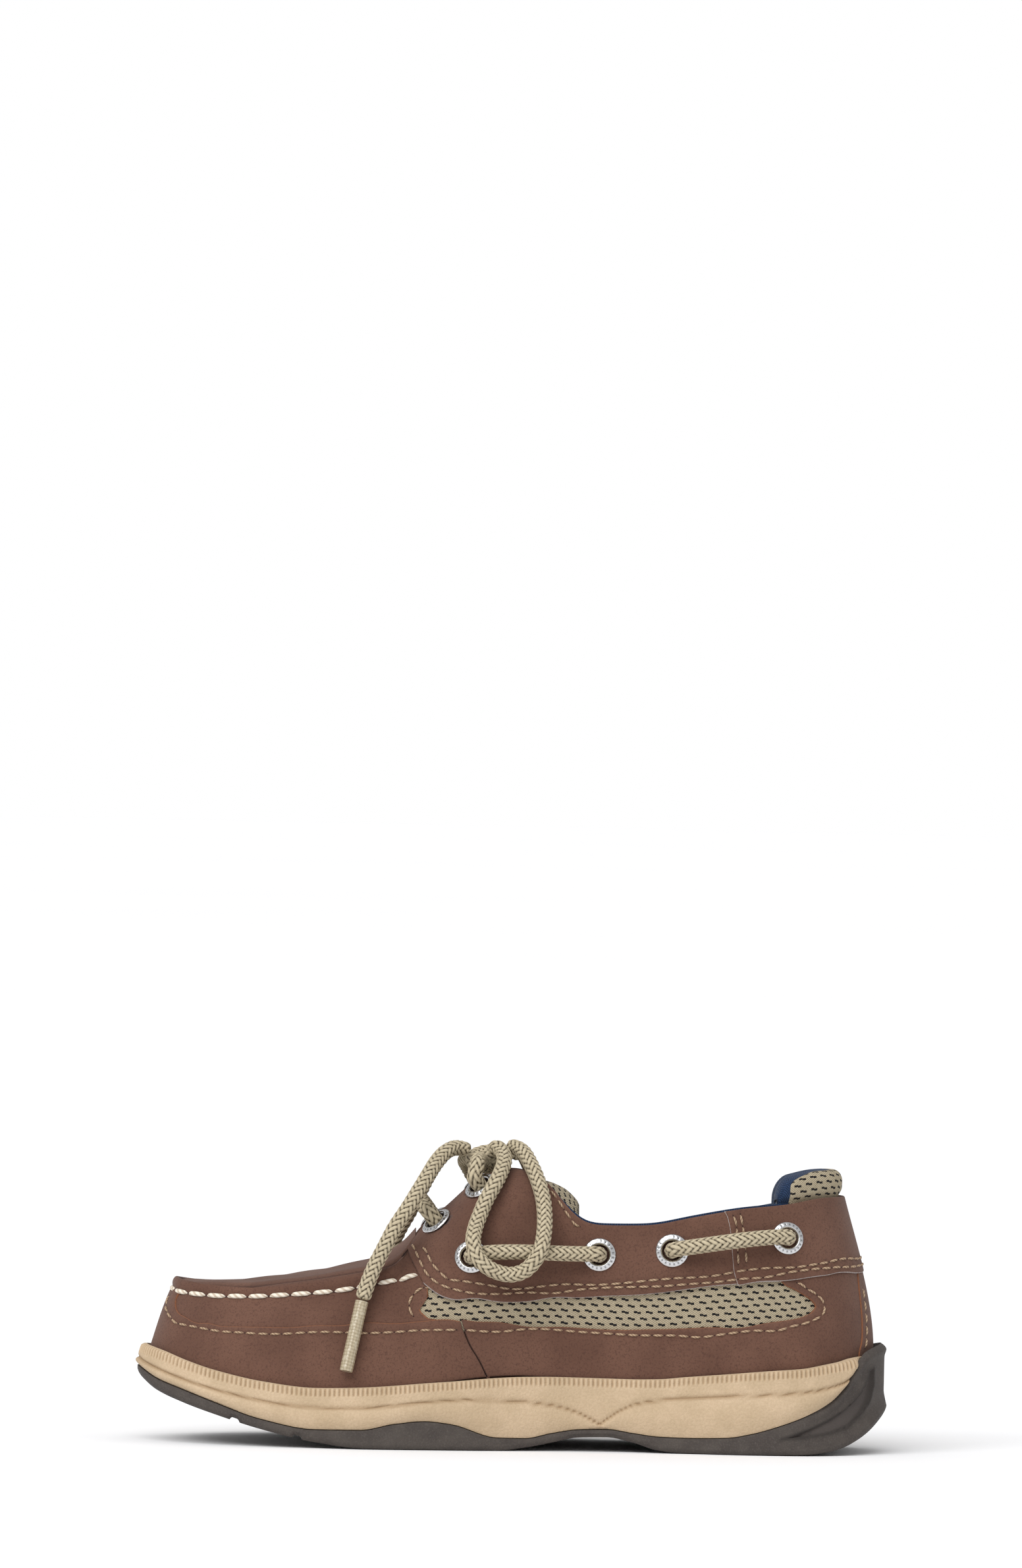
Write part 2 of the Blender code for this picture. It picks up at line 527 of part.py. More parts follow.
def collar_pad(rings, finish):
    """Heel cushion inside the collar, a U that stands above the leather at the back."""
    half = STATIONS // 2
    reach = int(np.sum(rings["top_x"][:half] > PAD_FRONT * LENGTH))
    ends = np.arange(half - reach, half + reach + 1)
    full = np.clip((1 - np.abs(ends - half) / reach) / 0.45, 0, 1)
    full = full * full * (3 - 2 * full)
    rise = PAD_END_RISE + (PAD_RISE - PAD_END_RISE) * full
    lean = PAD_LEAN * full
    thick = PAD_THICKNESS * (0.35 + 0.65 * full)
    depth = PAD_DEPTH * (0.45 + 0.55 * full)
    start = WALL + GAP + 0 * rise
    profile = [(start, -depth), (start, 0 * rise), (start - lean, GAP + 0.3 * rise),
               (start - 0.9 * lean, GAP + 0.75 * rise), (start + 0.22 * thick, GAP + rise),
               (start + 0.65 * thick, GAP + 0.96 * rise), (start + 0.95 * thick, 0.55 * rise),
               (start + thick, -0.3 * depth), (start + 0.7 * thick, -depth)]
    top = np.stack([rings["top_x"], rings["top_y"], rings["top_z"]], 1)[ends]
    tangent = np.gradient(top[:, :2], axis=0)
    tangent /= np.linalg.norm(tangent, axis=1)[:, None]
    inward = np.stack([-tangent[:, 1], tangent[:, 0]], 1)
    if np.dot(inward[reach], [-1, 0]) < 0:
        inward = -inward
    sections = []
    for away, high in profile:
        flat = top[:, :2] + inward * away[:, None]
        sections.append(np.column_stack([flat, top[:, 2] + high]))
    points = np.stack(sections, 1)
    wide = points.shape[1]
    faces = []
    for i in range(len(ends) - 1):
        a, b = i * wide, (i + 1) * wide
        faces += [(a + j, a + (j + 1) % wide, b + (j + 1) % wide, b + j) for j in range(wide)]
    faces += [tuple(range(wide)), tuple(range((len(ends) - 1) * wide, len(ends) * wide))]
    return piece("collar_pad", centred(points.reshape(-1, 3)), faces, finish)


def fine_wall(rings):
    """The wall on a fine grid with its outward normals, for placing what sits on it."""
    grid = wall(rings, np.linspace(0.2, 1, 81))
    along = np.roll(grid, -1, 0) - np.roll(grid, 1, 0)
    upward = np.gradient(grid, axis=1)
    normal = np.cross(upward, along)
    normal /= np.linalg.norm(normal, axis=2)[..., None]
    outward = np.stack([rings["out_x"], rings["out_y"]], 1)
    side = np.sign(np.mean(np.sum(normal[:, :20, :2] * outward[:, None, :], 2)))
    return grid, normal * side


def side_places(grid, normal, side, x, z):
    """The point and normal of the wall on one side (-1 medial, 1 lateral) at x and height z."""
    cost = (grid[..., 0] - x) ** 2 + (grid[..., 2] - z) ** 2
    cost = np.where(np.sign(grid[..., 1]) == side, cost, 1.0)
    at = np.unravel_index(np.argmin(cost), cost.shape)
    return grid[at], normal[at]


def top_places(grid, normal, side, x):
    """The point and normal on the instep, a margin outside the throat's edge."""
    gap = np.abs(grid[:, -1, 0] - x) + np.where(np.sign(grid[:, -1, 1]) == side, 0, 1.0)
    k = int(np.argmin(gap))
    run = np.cumsum(np.linalg.norm(np.diff(grid[k, ::-1], axis=0), axis=1))
    v = grid.shape[1] - 2 - int(np.argmin(np.abs(run - EYELET_MARGIN)))
    return grid[k, v], normal[k, v]


def eyelet_places():
    """Every eyelet by name: its centre on the leather's outside and the outward direction."""
    rings = last_rings(FINE // 2)
    grid, normal = fine_wall(rings)
    places = {}
    for side, word in ((-1, "medial"), (1, "lateral")):
        for letter, along, high in SIDE_EYELETS:
            drop = LATERAL_EYELET_DROP if side > 0 else 0
            places[f"{word}_{letter}"] = side_places(grid, normal, side, along * LENGTH,
                                                     (high - drop) * INSTEP_HEIGHT)
        for number, along in TOP_EYELETS:
            places[f"{word}_{number}"] = top_places(grid, normal, side, along * LENGTH)
    return places


def turned(profile, centre, axis, count):
    """Points and faces of a profile of (radius, height) turned about an axis through centre."""
    axis = Vector(axis).normalized()
    first = axis.orthogonal().normalized()
    second = axis.cross(first)
    points, faces = [], []
    for k in range(count):
        angle = 2 * pi * k / count
        ray = first * cos(angle) + second * sin(angle)
        points += [Vector(centre) + ray * r + axis * h for r, h in profile]
    wide = len(profile)
    for k in range(count):
        a, b = k * wide, (k + 1) % count * wide
        faces += [(a + j, a + (j + 1) % wide, b + (j + 1) % wide, b + j) for j in range(wide)]
    return points, faces


def eyelet(name, centre, axis, finish):
    """Metal ring: a domed flange outside, a tube through the leather, and a curl inside."""
    hole, outer = EYELET_HOLE / 2, EYELET_OUTER / 2
    tube, curl = EYELET_TUBE / 2, EYELET_CURL / 2
    inside = -WALL - EYELET_BACK
    profile = [(hole, inside), (curl, inside), (tube, inside + EYELET_BACK / 2), (tube, GAP),
               (outer, GAP), (0.5 * (hole + outer) + 0.0004, GAP + EYELET_HEIGHT),
               (hole, GAP + 0.6 * EYELET_HEIGHT)]
    points, faces = turned(profile, centre, axis, ROUND)
    return piece(name, centred(points), faces, finish)


def eyelet_cutter(name, centre, axis, finish):
    """A plug that cuts the eyelet's hole through the leather."""
    radius = EYELET_TUBE / 2 + GAP
    reach = 3 * WALL
    axis = Vector(axis).normalized()
    first = axis.orthogonal().normalized()
    second = axis.cross(first)
    points = []
    for high in (-reach, reach / 2):
        for k in range(ROUND):
            angle = 2 * pi * k / ROUND
            ray = first * cos(angle) + second * sin(angle)
            points.append(Vector(centre) + ray * radius + axis * high)
    faces = [tuple(range(ROUND)), tuple(range(ROUND, 2 * ROUND))]
    faces += [(k, (k + 1) % ROUND, ROUND + (k + 1) % ROUND, ROUND + k) for k in range(ROUND)]
    return piece(name, centred(points), faces, finish, smooth=False)


def lace(name, points, diameter, finish):
    """A run of lace: a round curve along points with filled ends."""
    data = bpy.data.curves.new(name, "CURVE")
    data.dimensions = "3D"
    data.bevel_depth = diameter / 2
    data.bevel_resolution = 2
    data.use_fill_caps = True
    run = data.splines.new("POLY")
    run.points.add(len(points) - 1)
    for spot, point in zip(run.points, centred(points)):
        spot.co = (*point, 1)
    run.use_smooth = True
    data.materials.append(finish)
    made = bpy.data.objects.new(name, data)
    bpy.context.collection.objects.link(made)
    return made


def smooth_route(points, apart):
    """Points a set distance apart on the smooth curve through a route's own points."""
    route = np.array(points, float)
    run = np.concatenate([[0], np.cumsum(np.linalg.norm(np.diff(route, axis=0), axis=1))])
    count = max(2, int(round(run[-1] / apart))) + 1
    at = np.linspace(0, run[-1], count)
    return np.stack([curve(run, route[:, k], at) for k in range(3)], 1)


def millimetres(points):
    return np.array(points, float) / 1000


def from_knot(route):
    """A route with one more point in front, where it meets the knot: slanted end, wider clearance."""
    ray = np.array(route[0], float) - KNOT_PLACE
    ray /= np.linalg.norm(ray)
    radius = 1 / np.linalg.norm(ray / (np.array(KNOT) * 1000))
    return [tuple(KNOT_PLACE + ray * (radius + KNOT_CLEAR * 1000)), *route]


def way_out(centre, axis, towards):
    """The lace's way out of an eyelet: up the hole, then bent over the flange's lip towards a point."""
    centre, axis = np.array(centre, float), np.array(axis, float)
    along = np.array(towards, float) - centre
    along -= axis * (along @ axis)
    along /= np.linalg.norm(along)
    lip = EYELET_HOLE / 2
    high = GAP + EYELET_HEIGHT
    bend = LACE / 2 + LACE_CLEAR
    path = [(lip - bend, -LACE_HIDDEN)]
    path += [(lip - bend * cos(a), high + bend * sin(a)) for a in (0, pi / 6, pi / 3, pi / 2)]
    return [centre + along * r + axis * h for r, h in path]


def bar(name, start, end, finish):
    """Lace from one eyelet over the leather to the next."""
    out = way_out(*start, end[0])
    back = way_out(*end, start[0])
    return lace(name, out + back[::-1], LACE, finish)


def knot(finish):
    """The bow's knot as one lump."""
    mesh = bpy.data.meshes.new("lace_knot")
    bm = bmesh.new()
    bmesh.ops.create_icosphere(bm, subdivisions=2, radius=1.0)
    place = centred(millimetres(KNOT_PLACE))
    for v in bm.verts:
        v.co = Vector([c * r + p for c, r, p in zip(v.co, KNOT, place)])
    bm.to_mesh(mesh)
    bm.free()
    mesh.materials.append(finish)
    made = bpy.data.objects.new("lace_knot", mesh)
    bpy.context.collection.objects.link(made)
    return made


def laces(places, finish, clear):
    """Side bars, the bar across the throat, the legs up to the knot, and the bow."""
    for side in ("medial", "lateral"):
        for first, second in (("a", "b"), ("c", "d")):
            bar(f"lace_{side}_{first}{second}", places[f"{side}_{first}"], places[f"{side}_{second}"], finish)
    bar("lace_throat", places["medial_1"], places["lateral_1"], finish)
    for side, leg in (("medial", LEG_MEDIAL), ("lateral", LEG_LATERAL)):
        centre, axis = (np.array(v, float) for v in places[f"{side}_2"])
        start = [centre - axis * LACE_HIDDEN, centre + axis * EYELET_HEIGHT, centre + axis * 1.6 * LACE / 2]
        route = np.concatenate([start, millimetres(leg)])
        lace(f"lace_leg_{side}", smooth_route(route, 0.6 * LACE), LACE, finish)
    knot(finish)
    spacing = LACE
    for name, route in (("loop_medial", LOOP_MEDIAL), ("loop_lateral", LOOP_LATERAL),
                        ("end_medial", END_MEDIAL), ("end_lateral", END_LATERAL)):
        lace(f"lace_{name}", smooth_route(millimetres(from_knot(route)), spacing), LACE, finish)
    lace("aglet_medial", millimetres(AGLET_MEDIAL), AGLET, clear)
    lace("aglet_lateral", millimetres(AGLET_LATERAL), AGLET, clear)


def main():
    for old in list(bpy.data.objects):
        bpy.data.objects.remove(old)
    leather = material("brown_leather", (0.147, 0.070, 0.048), 0.75)
    rubber = material("dark_rubber", (0.098, 0.080, 0.070), 0.8)
    foam = material("tan_foam", (0.66, 0.50, 0.30), 0.8)
    lining = material("navy_lining", (0.012, 0.026, 0.07), 0.9)
    cushion = material("cream_mesh", (0.55, 0.47, 0.32), 0.9)
    steel = material("eyelet_steel", (0.75, 0.75, 0.76), 0.25, 1.0)
    braid = material("khaki_braid", (0.50, 0.41, 0.24), 0.85)
    clear = material("lace_tip", (0.52, 0.44, 0.28), 0.3)
    rings = last_rings(STATIONS)
    outsole(rings, rubber)
    midsole(rings, foam)
    insole(rings, lining)
    body = upper(rings, leather)
    tongue(cushion)
    collar_pad(rings, cushion)
    places = eyelet_places()
    for name, (centre, axis) in places.items():
        cut(body, eyelet_cutter(f"punch_{name}", centre, axis, leather))
        eyelet(f"eyelet_{name}", centre, axis, steel)
    laces(places, braid, clear)


main()
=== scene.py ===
"""Boat shoe for the right foot: finish, panels, stitching, lace and sole detail around the CAD frame.

Metres. The toe points to -X, the inner side of the foot is at -Y, and the sole stands on Z = 0.
Places read from the photograph are named pixel lists in its 1552 x 2380 frame.
"""

import bpy
import numpy as np
from mathutils import Matrix, Vector
from mathutils.geometry import delaunay_2d_cdt


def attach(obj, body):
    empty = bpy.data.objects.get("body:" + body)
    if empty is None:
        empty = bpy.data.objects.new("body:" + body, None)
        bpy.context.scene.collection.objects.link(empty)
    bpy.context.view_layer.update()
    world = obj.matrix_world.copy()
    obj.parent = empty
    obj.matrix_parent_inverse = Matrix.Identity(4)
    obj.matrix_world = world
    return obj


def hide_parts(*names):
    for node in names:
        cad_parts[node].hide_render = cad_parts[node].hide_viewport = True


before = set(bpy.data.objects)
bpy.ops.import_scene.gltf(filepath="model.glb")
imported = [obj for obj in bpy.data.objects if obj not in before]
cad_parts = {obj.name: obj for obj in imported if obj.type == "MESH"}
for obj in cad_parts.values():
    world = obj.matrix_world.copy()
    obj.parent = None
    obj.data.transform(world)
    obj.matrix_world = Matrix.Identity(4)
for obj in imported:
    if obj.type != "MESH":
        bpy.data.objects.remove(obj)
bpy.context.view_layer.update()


# Studio: a plain pale floor, a broad sun from above the inner side, a soft window beyond the toe and
# bright surroundings. A long lens looks at the inner side from 3.5 degrees above, rolled by 1.2.

IMAGE_WIDE, IMAGE_HIGH = 1552, 2380
PIXEL = 0.0001953
TOE_PIXEL = 208
FLOOR_PIXEL = 2190.7
FLOOR_PIXEL_AT = 700
TILT = 0.0211
LOOK_DOWN = 0.061
LENGTH = 0.222
CAMERA_AWAY = 4.0
SENSOR = 36.0
SKY = 0.62
SUN_POWER = 1.85
SUN_ANGLE = 0.9
SUN_FROM = (-0.3, -0.75, 0.9)
WINDOW_FROM = (-1.3, -1.7, 1.5)
WINDOW_WIDE = 0.7
WINDOW_POWER = 7
AIM = (0, 0, 0.03)
FLOOR_RADIUS = 12.0


def make_camera():
    """Camera whose picture puts the floor under the shoe's middle where the photograph has it."""
    middle_across = TOE_PIXEL + LENGTH / 2 / PIXEL
    middle_down = FLOOR_PIXEL + TILT * (middle_across - FLOOR_PIXEL_AT)
    right_of_axis = (middle_across - IMAGE_WIDE / 2) * PIXEL
    below_axis = (middle_down - IMAGE_HIGH / 2) * PIXEL
    pitch = -np.arcsin(LOOK_DOWN) + np.arctan(below_axis / CAMERA_AWAY)
    ahead = Vector((0, np.cos(pitch), np.sin(pitch)))
    level = Vector((1, 0, 0))
    upright = level.cross(ahead)
    right = (level + upright * TILT).normalized()
    up = right.cross(ahead)
    data = bpy.data.cameras.new("camera")
    data.sensor_width = SENSOR
    data.lens = SENSOR * CAMERA_AWAY / (IMAGE_HIGH * PIXEL)
    data.clip_end = 60
    made = bpy.data.objects.new("camera", data)
    place = -ahead * CAMERA_AWAY + up * below_axis - right * right_of_axis
    turn = Matrix((right, up, -ahead)).transposed()
    made.matrix_world = Matrix.Translation(place) @ turn.to_4x4()
    bpy.context.collection.objects.link(made)
    bpy.context.scene.camera = made


def make_light(kind, place, power):
    """Adds a lamp of a kind at a place, aimed at the shoe, and gives its settings back."""
    data = bpy.data.lights.new(kind.lower(), kind)
    data.energy = power
    made = bpy.data.objects.new(kind.lower(), data)
    made.location = place
    made.rotation_euler = (Vector(AIM) - Vector(place)).to_track_quat("-Z", "Y").to_euler()
    made.visible_camera = False
    bpy.context.collection.objects.link(made)
    return data


class Signal:
    """A value or colour in a material. Python's operators on it add Math nodes."""

    def __init__(self, tree, socket=None):
        self.tree, self.socket = tree, socket

    def node(self, kind, settings=None, out=0, stops=None, **sockets):
        """Adds a node of a type: settings first, then the values or links of its sockets."""
        made = self.tree.nodes.new("ShaderNode" + kind)
        for name, value in (settings or {}).items():
            setattr(made, name, value)
        if stops:
            for stop, (at, colour) in zip(made.color_ramp.elements, stops):
                stop.position, stop.color = at, (*colour, 1)
        for name, value in sockets.items():
            spot = made.inputs[int(name[1:]) if name[1:].isdigit() else name.replace("_", " ")]
            if isinstance(value, Signal):
                self.tree.links.new(value.socket, spot)
            else:
                spot.default_value = value
        return Signal(self.tree, made.outputs[out])

    def maths(self, operation, other=0.0, swap=False):
        first, second = (other, self) if swap else (self, other)
        return self.node("Math", {"operation": operation}, i0=first, i1=second)

    def __add__(self, other):
        return self.maths("ADD", other)

    def __sub__(self, other):
        return self.maths("SUBTRACT", other)

    def __rsub__(self, other):
        return self.maths("SUBTRACT", other, swap=True)

    def __mul__(self, other):
        return self.maths("MULTIPLY", other)

    def __truediv__(self, other):
        return self.maths("DIVIDE", other)

    def __mod__(self, other):
        return self.maths("FLOORED_MODULO", other)

    __radd__, __rmul__ = __add__, __mul__

    def between(self, low, high):
        """0 below low, 1 above high, smooth in between."""
        return self.node("MapRange", {"interpolation_type": "SMOOTHSTEP"}, i0=self, i1=low, i2=high)

    def blend(self, first, second):
        """The colour first where this signal is 0 and second where it is 1."""
        colours = [c if isinstance(c, Signal) else (*c, 1) for c in (first, second)]
        return self.node("Mix", {"data_type": "RGBA"}, out=2, i0=self, i6=colours[0], i7=colours[1])

    def noise(self, places, size, detail=3.0, rough=0.5):
        """Soft noise with features of about the given size in metres."""
        return self.node("TexNoise", Vector=places, Scale=1 / size, Detail=detail, Roughness=rough)

    def bump(self, height, deep, strength=1.0, under=None):
        """Bump whose height of 1 stands deep metres proud."""
        more = {"Normal": under} if under else {}
        return self.node("Bump", Height=height, Distance=deep, Strength=strength, **more)


def new_finish(name):
    """A material, a signal to start others from, and the places on the object in metres."""
    finish = bpy.data.materials.new(name)
    finish.use_nodes = True
    start = Signal(finish.node_tree)
    return finish, start, start.node("TexCoord", out=3)


def axes_of(places):
    """The first two coordinates of a signal of places."""
    return [places.node("SeparateXYZ", i0=places, out=k) for k in (0, 1)]


def pattern_of(start):
    """The two coordinates of the piece's UV pattern, in metres."""
    return axes_of(start.node("TexCoord", out=2))


def shade(finish, **sockets):
    """Sets or links the sockets of the material's shader."""
    shader = finish.node_tree.nodes["Principled BSDF"]
    for name, value in sockets.items():
        spot = shader.inputs[name.replace("_", " ")]
        if isinstance(value, Signal):
            finish.node_tree.links.new(value.socket, spot)
        else:
            spot.default_value = value


def mark(signal, name):
    """A number that the mesh carries at its points."""
    return signal.node("Attribute", {"attribute_name": name}, out=2)


def pale_floor():
    """Matte white floor, lit to white, with the soft shadow of the shoe."""
    finish, start, places = new_finish("pale_floor")
    cloud = start.noise(places, 0.4, 2)
    shade(finish, Base_Color=cloud.blend((0.955, 0.955, 0.965), (0.97, 0.97, 0.98)), Roughness=0.9,
          Specular_IOR_Level=0.1)
    turn = np.linspace(0, 2 * np.pi, 96, endpoint=False)
    rim = np.stack([np.cos(turn), np.sin(turn), 0 * turn], 1) * FLOOR_RADIUS
    mesh = bpy.data.meshes.new("floor")
    mesh.from_pydata(rim.tolist(), [], [list(range(len(rim)))])
    mesh.materials.append(finish)
    floor = bpy.data.objects.new("floor", mesh)
    bpy.context.collection.objects.link(floor)


make_camera()
make_light("AREA", WINDOW_FROM, WINDOW_POWER).size = WINDOW_WIDE
make_light("SUN", Vector(SUN_FROM) + Vector(AIM), SUN_POWER).angle = SUN_ANGLE
pale_floor()
scene = bpy.context.scene
scene.view_settings.view_transform = "Standard"
scene.world = bpy.data.worlds.new("studio")
scene.world.use_nodes = True
sky = Signal(scene.world.node_tree)
seen_directly = sky.node("LightPath")
strength = seen_directly * (1 - SKY) + SKY
backdrop = scene.world.node_tree.nodes["Background"]
backdrop.inputs[0].default_value = (1, 1, 1, 1)
scene.world.node_tree.links.new(strength.socket, backdrop.inputs[1])


# Lace: round khaki braid of 4.7 mm, two strands over two, threaded through the eyelets round the
# collar and tied in a bow. Bars lie between the eyelets; loops and ends hang free from the knot.

LACE = 0.0047
LACE_HIDDEN = 0.0021
LACE_CLEAR = 0.0005
LACE_PAST_LIP = 0.0011
EYELET_HOLE = 0.0059
EYELET_LIP = 0.0014
FLANGE_RADIUS = 0.0046
FLANGE_OVER = 0.0003
BRAID_STRANDS = 8
BRAID_PITCH = 0.0021
BRAID_AROUND = 48
BRAID_STEP = 0.00032
BRAID_LIFT = 0.00016
BRAID_ROUND = 0.00056
BRAID_CROSSING = 2.2
LEAST_SHARE = 0.02

# Routes in millimetres from the toe tip, the middle line and the floor, as in the CAD source
KNOT_PLACE = (101.1, -5.0, 84.6)
LOOP_MEDIAL = (
    (103.7, -9.3, 87.1),
    (104.6, -10.8, 88.2), (106.6, -14.0, 87.0), (107.2, -18.2, 84.6), (106.2, -22.8, 81.4),
    (104.4, -26.6, 77.8), (102.2, -29.0, 73.8), (100.4, -31.2, 69.4), (99.0, -34.0, 65.2),
    (98.6, -38.0, 61.2), (99.6, -39.6, 57.6), (102.2, -39.8, 54.8), (106.0, -38.6, 52.8),
    (110.3, -38.0, 52.2), (113.8, -38.2, 53.4), (116.6, -38.6, 56.2), (118.4, -37.8, 59.8),
    (119.3, -34.6, 64.4), (119.4, -30.6, 69.4), (118.8, -27.0, 74.2), (117.4, -23.8, 78.8),
    (115.2, -19.6, 83.6), (112.4, -14.0, 87.6), (109.0, -8.5, 88.8),
)
LOOP_LATERAL = (
    (104.2, 0.3, 85.8),
    (105.2, 2.0, 86.2), (106.8, 6.6, 85.4), (107.0, 13.0, 85.0), (106.0, 20.0, 82.0),
    (104.0, 26.0, 77.0), (101.8, 30.0, 72.5), (100.2, 34.0, 68.0), (99.0, 38.2, 63.4),
    (98.6, 41.2, 59.6), (99.8, 42.6, 55.8), (102.6, 42.6, 52.6), (106.4, 42.0, 50.6),
    (110.6, 41.4, 50.0), (114.4, 41.2, 51.4), (117.0, 41.4, 54.2), (118.4, 39.8, 58.2),
    (119.0, 36.4, 63.2), (118.8, 32.0, 68.6), (117.8, 27.8, 73.8), (116.0, 23.6, 78.8),
    (114.0, 18.2, 83.4), (112.4, 8.0, 86.2), (110.2, -0.4, 86.6),
)
END_MEDIAL = (
    (96.3, -7.8, 87.0),
    (95.0, -8.5, 87.6), (92.3, -10.5, 87.9), (90.0, -13.5, 86.9), (87.8, -16.5, 84.6),
    (85.6, -20.5, 81.4), (82.7, -25.0, 76.6), (79.0, -29.5, 70.5), (75.2, -32.0, 64.6),
    (72.4, -33.5, 59.0), (69.6, -34.5, 53.3), (67.9, -35.3, 48.9), (66.3, -36.2, 43.7),
)
END_LATERAL = (
    (96.5, -1.9, 86.6),
    (95.2, -1.0, 87.2), (92.4, 3.0, 87.4), (89.8, 8.0, 86.0), (87.2, 14.0, 83.0),
    (84.6, 20.0, 78.4), (81.8, 25.5, 72.4), (79.1, 30.0, 66.9), (75.8, 33.4, 60.6),
    (73.6, 35.8, 54.5), (72.6, 37.8, 48.5), (71.8, 39.4, 42.6),
)
LEG_MEDIAL = ((99.0, -19.8, 82.6), (99.6, -13.2, 84.6))
LEG_LATERAL = ((96.2, 17.0, 81.8), (95.6, 10.5, 83.6), (97.6, 3.6, 84.5))
AGLET_MEDIAL = ((66.2, -36.4, 43.3), (62.0, -40.4, 22.9))
AGLET_LATERAL = ((71.7, 39.6, 42.2), (70.2, 42.2, 22.3))


def shoe_place(points):
    """Metres in the shoe's frame from millimetres counted from the toe tip."""
    return np.array(points, float) / 1000 - [LENGTH / 2, 0, 0]


def unit(vectors):
    """The same vectors at length 1."""
    return vectors / np.linalg.norm(vectors, axis=-1)[..., None]


def grid_faces(rows, columns, closed_rows=False, closed_columns=False, first=0):
    """Quads between neighbouring points of a grid counted row by row."""
    r = np.arange(rows if closed_rows else rows - 1)[:, None]
    c = np.arange(columns if closed_columns else columns - 1)[None, :]
    below, beside = (r + 1) % rows, (c + 1) % columns
    corners = [r * columns + c, r * columns + beside, below * columns + beside, below * columns + c]
    return first + np.stack([np.broadcast_to(k, (len(r), c.shape[1])) for k in corners], -1).reshape(-1, 4)


def volume_of(points, faces):
    """Signed volume inside closed faces: each face's first corner against its fan of triangles."""
    a = points[faces[:, 0]]
    total = 0.0
    for k in range(1, faces.shape[1] - 1):
        b, c = points[faces[:, k]], points[faces[:, k + 1]]
        total += np.einsum("ij,ij->i", a, np.cross(b, c)).sum() / 6
    return total


def make_piece(name, points, faces, finish, marks=None, uv=None, sharp=None, stands_for=()):
    """A closed mesh object that rides on the shoe. faces is a list of arrays of quads or triangles."""
    points = np.asarray(points, float)
    faces = [np.asarray(f, int) for f in faces if len(f)]
    if sum(volume_of(points, f) for f in faces) < 0:
        faces = [f[:, ::-1] for f in faces]
    mesh = bpy.data.meshes.new(name)
    mesh.from_pydata(points.tolist(), [], [row for f in faces for row in f.tolist()])
    mesh.shade_smooth()
    if sharp:
        mesh.set_sharp_from_angle(angle=sharp)
    for key, values in (marks or {}).items():
        carried = mesh.attributes.new(key, "FLOAT", "POINT")
        carried.data.foreach_set("value", np.asarray(values, float).ravel())
    if uv is not None:
        corner = np.zeros(len(mesh.loops), int)
        mesh.loops.foreach_get("vertex_index", corner)
        mesh.uv_layers.new(name="pattern").data.foreach_set("uv", np.asarray(uv, float)[corner].ravel())
    mesh.materials.append(finish)
    made = bpy.data.objects.new(name, mesh)
    bpy.context.collection.objects.link(made)
    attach(made, "root")
    if stands_for:
        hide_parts(*stands_for)
    return made


def slopes(x, y):
    """Slopes at the knots that keep a curve between them from swinging past them."""
    step = np.diff(y) / np.diff(x)
    both = step[:-1] * step[1:]
    inner = np.where(both > 0, 2 * both / (step[:-1] + step[1:] + 1e-30), 0)
    return np.concatenate([[step[0]], inner, [step[-1]]])


def cubic(x, y, slope, at):
    """Values at the places in at, on the cubics that join the knots (x, y) with the given slopes."""
    k = np.clip(np.searchsorted(x, at) - 1, 0, len(x) - 2)
    shape = (-1,) + (1,) * (y.ndim - 1)
    wide = (x[k + 1] - x[k]).reshape(shape)
    t = np.clip((at - x[k]).reshape(shape) / wide, 0, 1)
    return ((2 * t**3 - 3 * t**2 + 1) * y[k] + (t**3 - 2 * t**2 + t) * wide * slope[k]
            + (3 * t**2 - 2 * t**3) * y[k + 1] + (t**3 - t**2) * wide * slope[k + 1])


def curve(x, y, at):
    """The smooth curve through the knots (x, y), read at the places in at."""
    return cubic(x, y, slopes(x, y), np.ravel(at)).reshape(np.shape(at))


def run_along(points):
    """Distance along a polyline at each of its points."""
    return np.concatenate([[0], np.cumsum(np.linalg.norm(np.diff(points, axis=0), axis=1))])


def smooth_route(points, apart):
    """Points a set distance apart on a rounded curve: a cubic with chord slopes through the route."""
    route = np.asarray(points, float)
    run = run_along(route)
    at = np.linspace(0, run[-1], max(3, int(run[-1] / apart)) + 1)
    return cubic(run, route, np.gradient(route, run, axis=0), at)


def tube_frame(path):
    """Two directions across a path that barely twist: its flattest direction, made square to it."""
    tangent = unit(np.gradient(path, axis=0))
    flattest = np.linalg.svd(path - path.mean(0), full_matrices=True)[2][2]
    side = unit(np.cross(tangent, flattest))
    return side, np.cross(tangent, side)


def round_tube(path, radius, directions, turn):
    """Rings of points round a path: radius by ring and point, turn as shares of a full turn."""
    angle = 2 * np.pi * turn[None, :, None]
    side, other = directions
    return path[:, None, :] + radius[..., None] * (np.cos(angle) * side[:, None, :]
                                                   + np.sin(angle) * other[:, None, :])


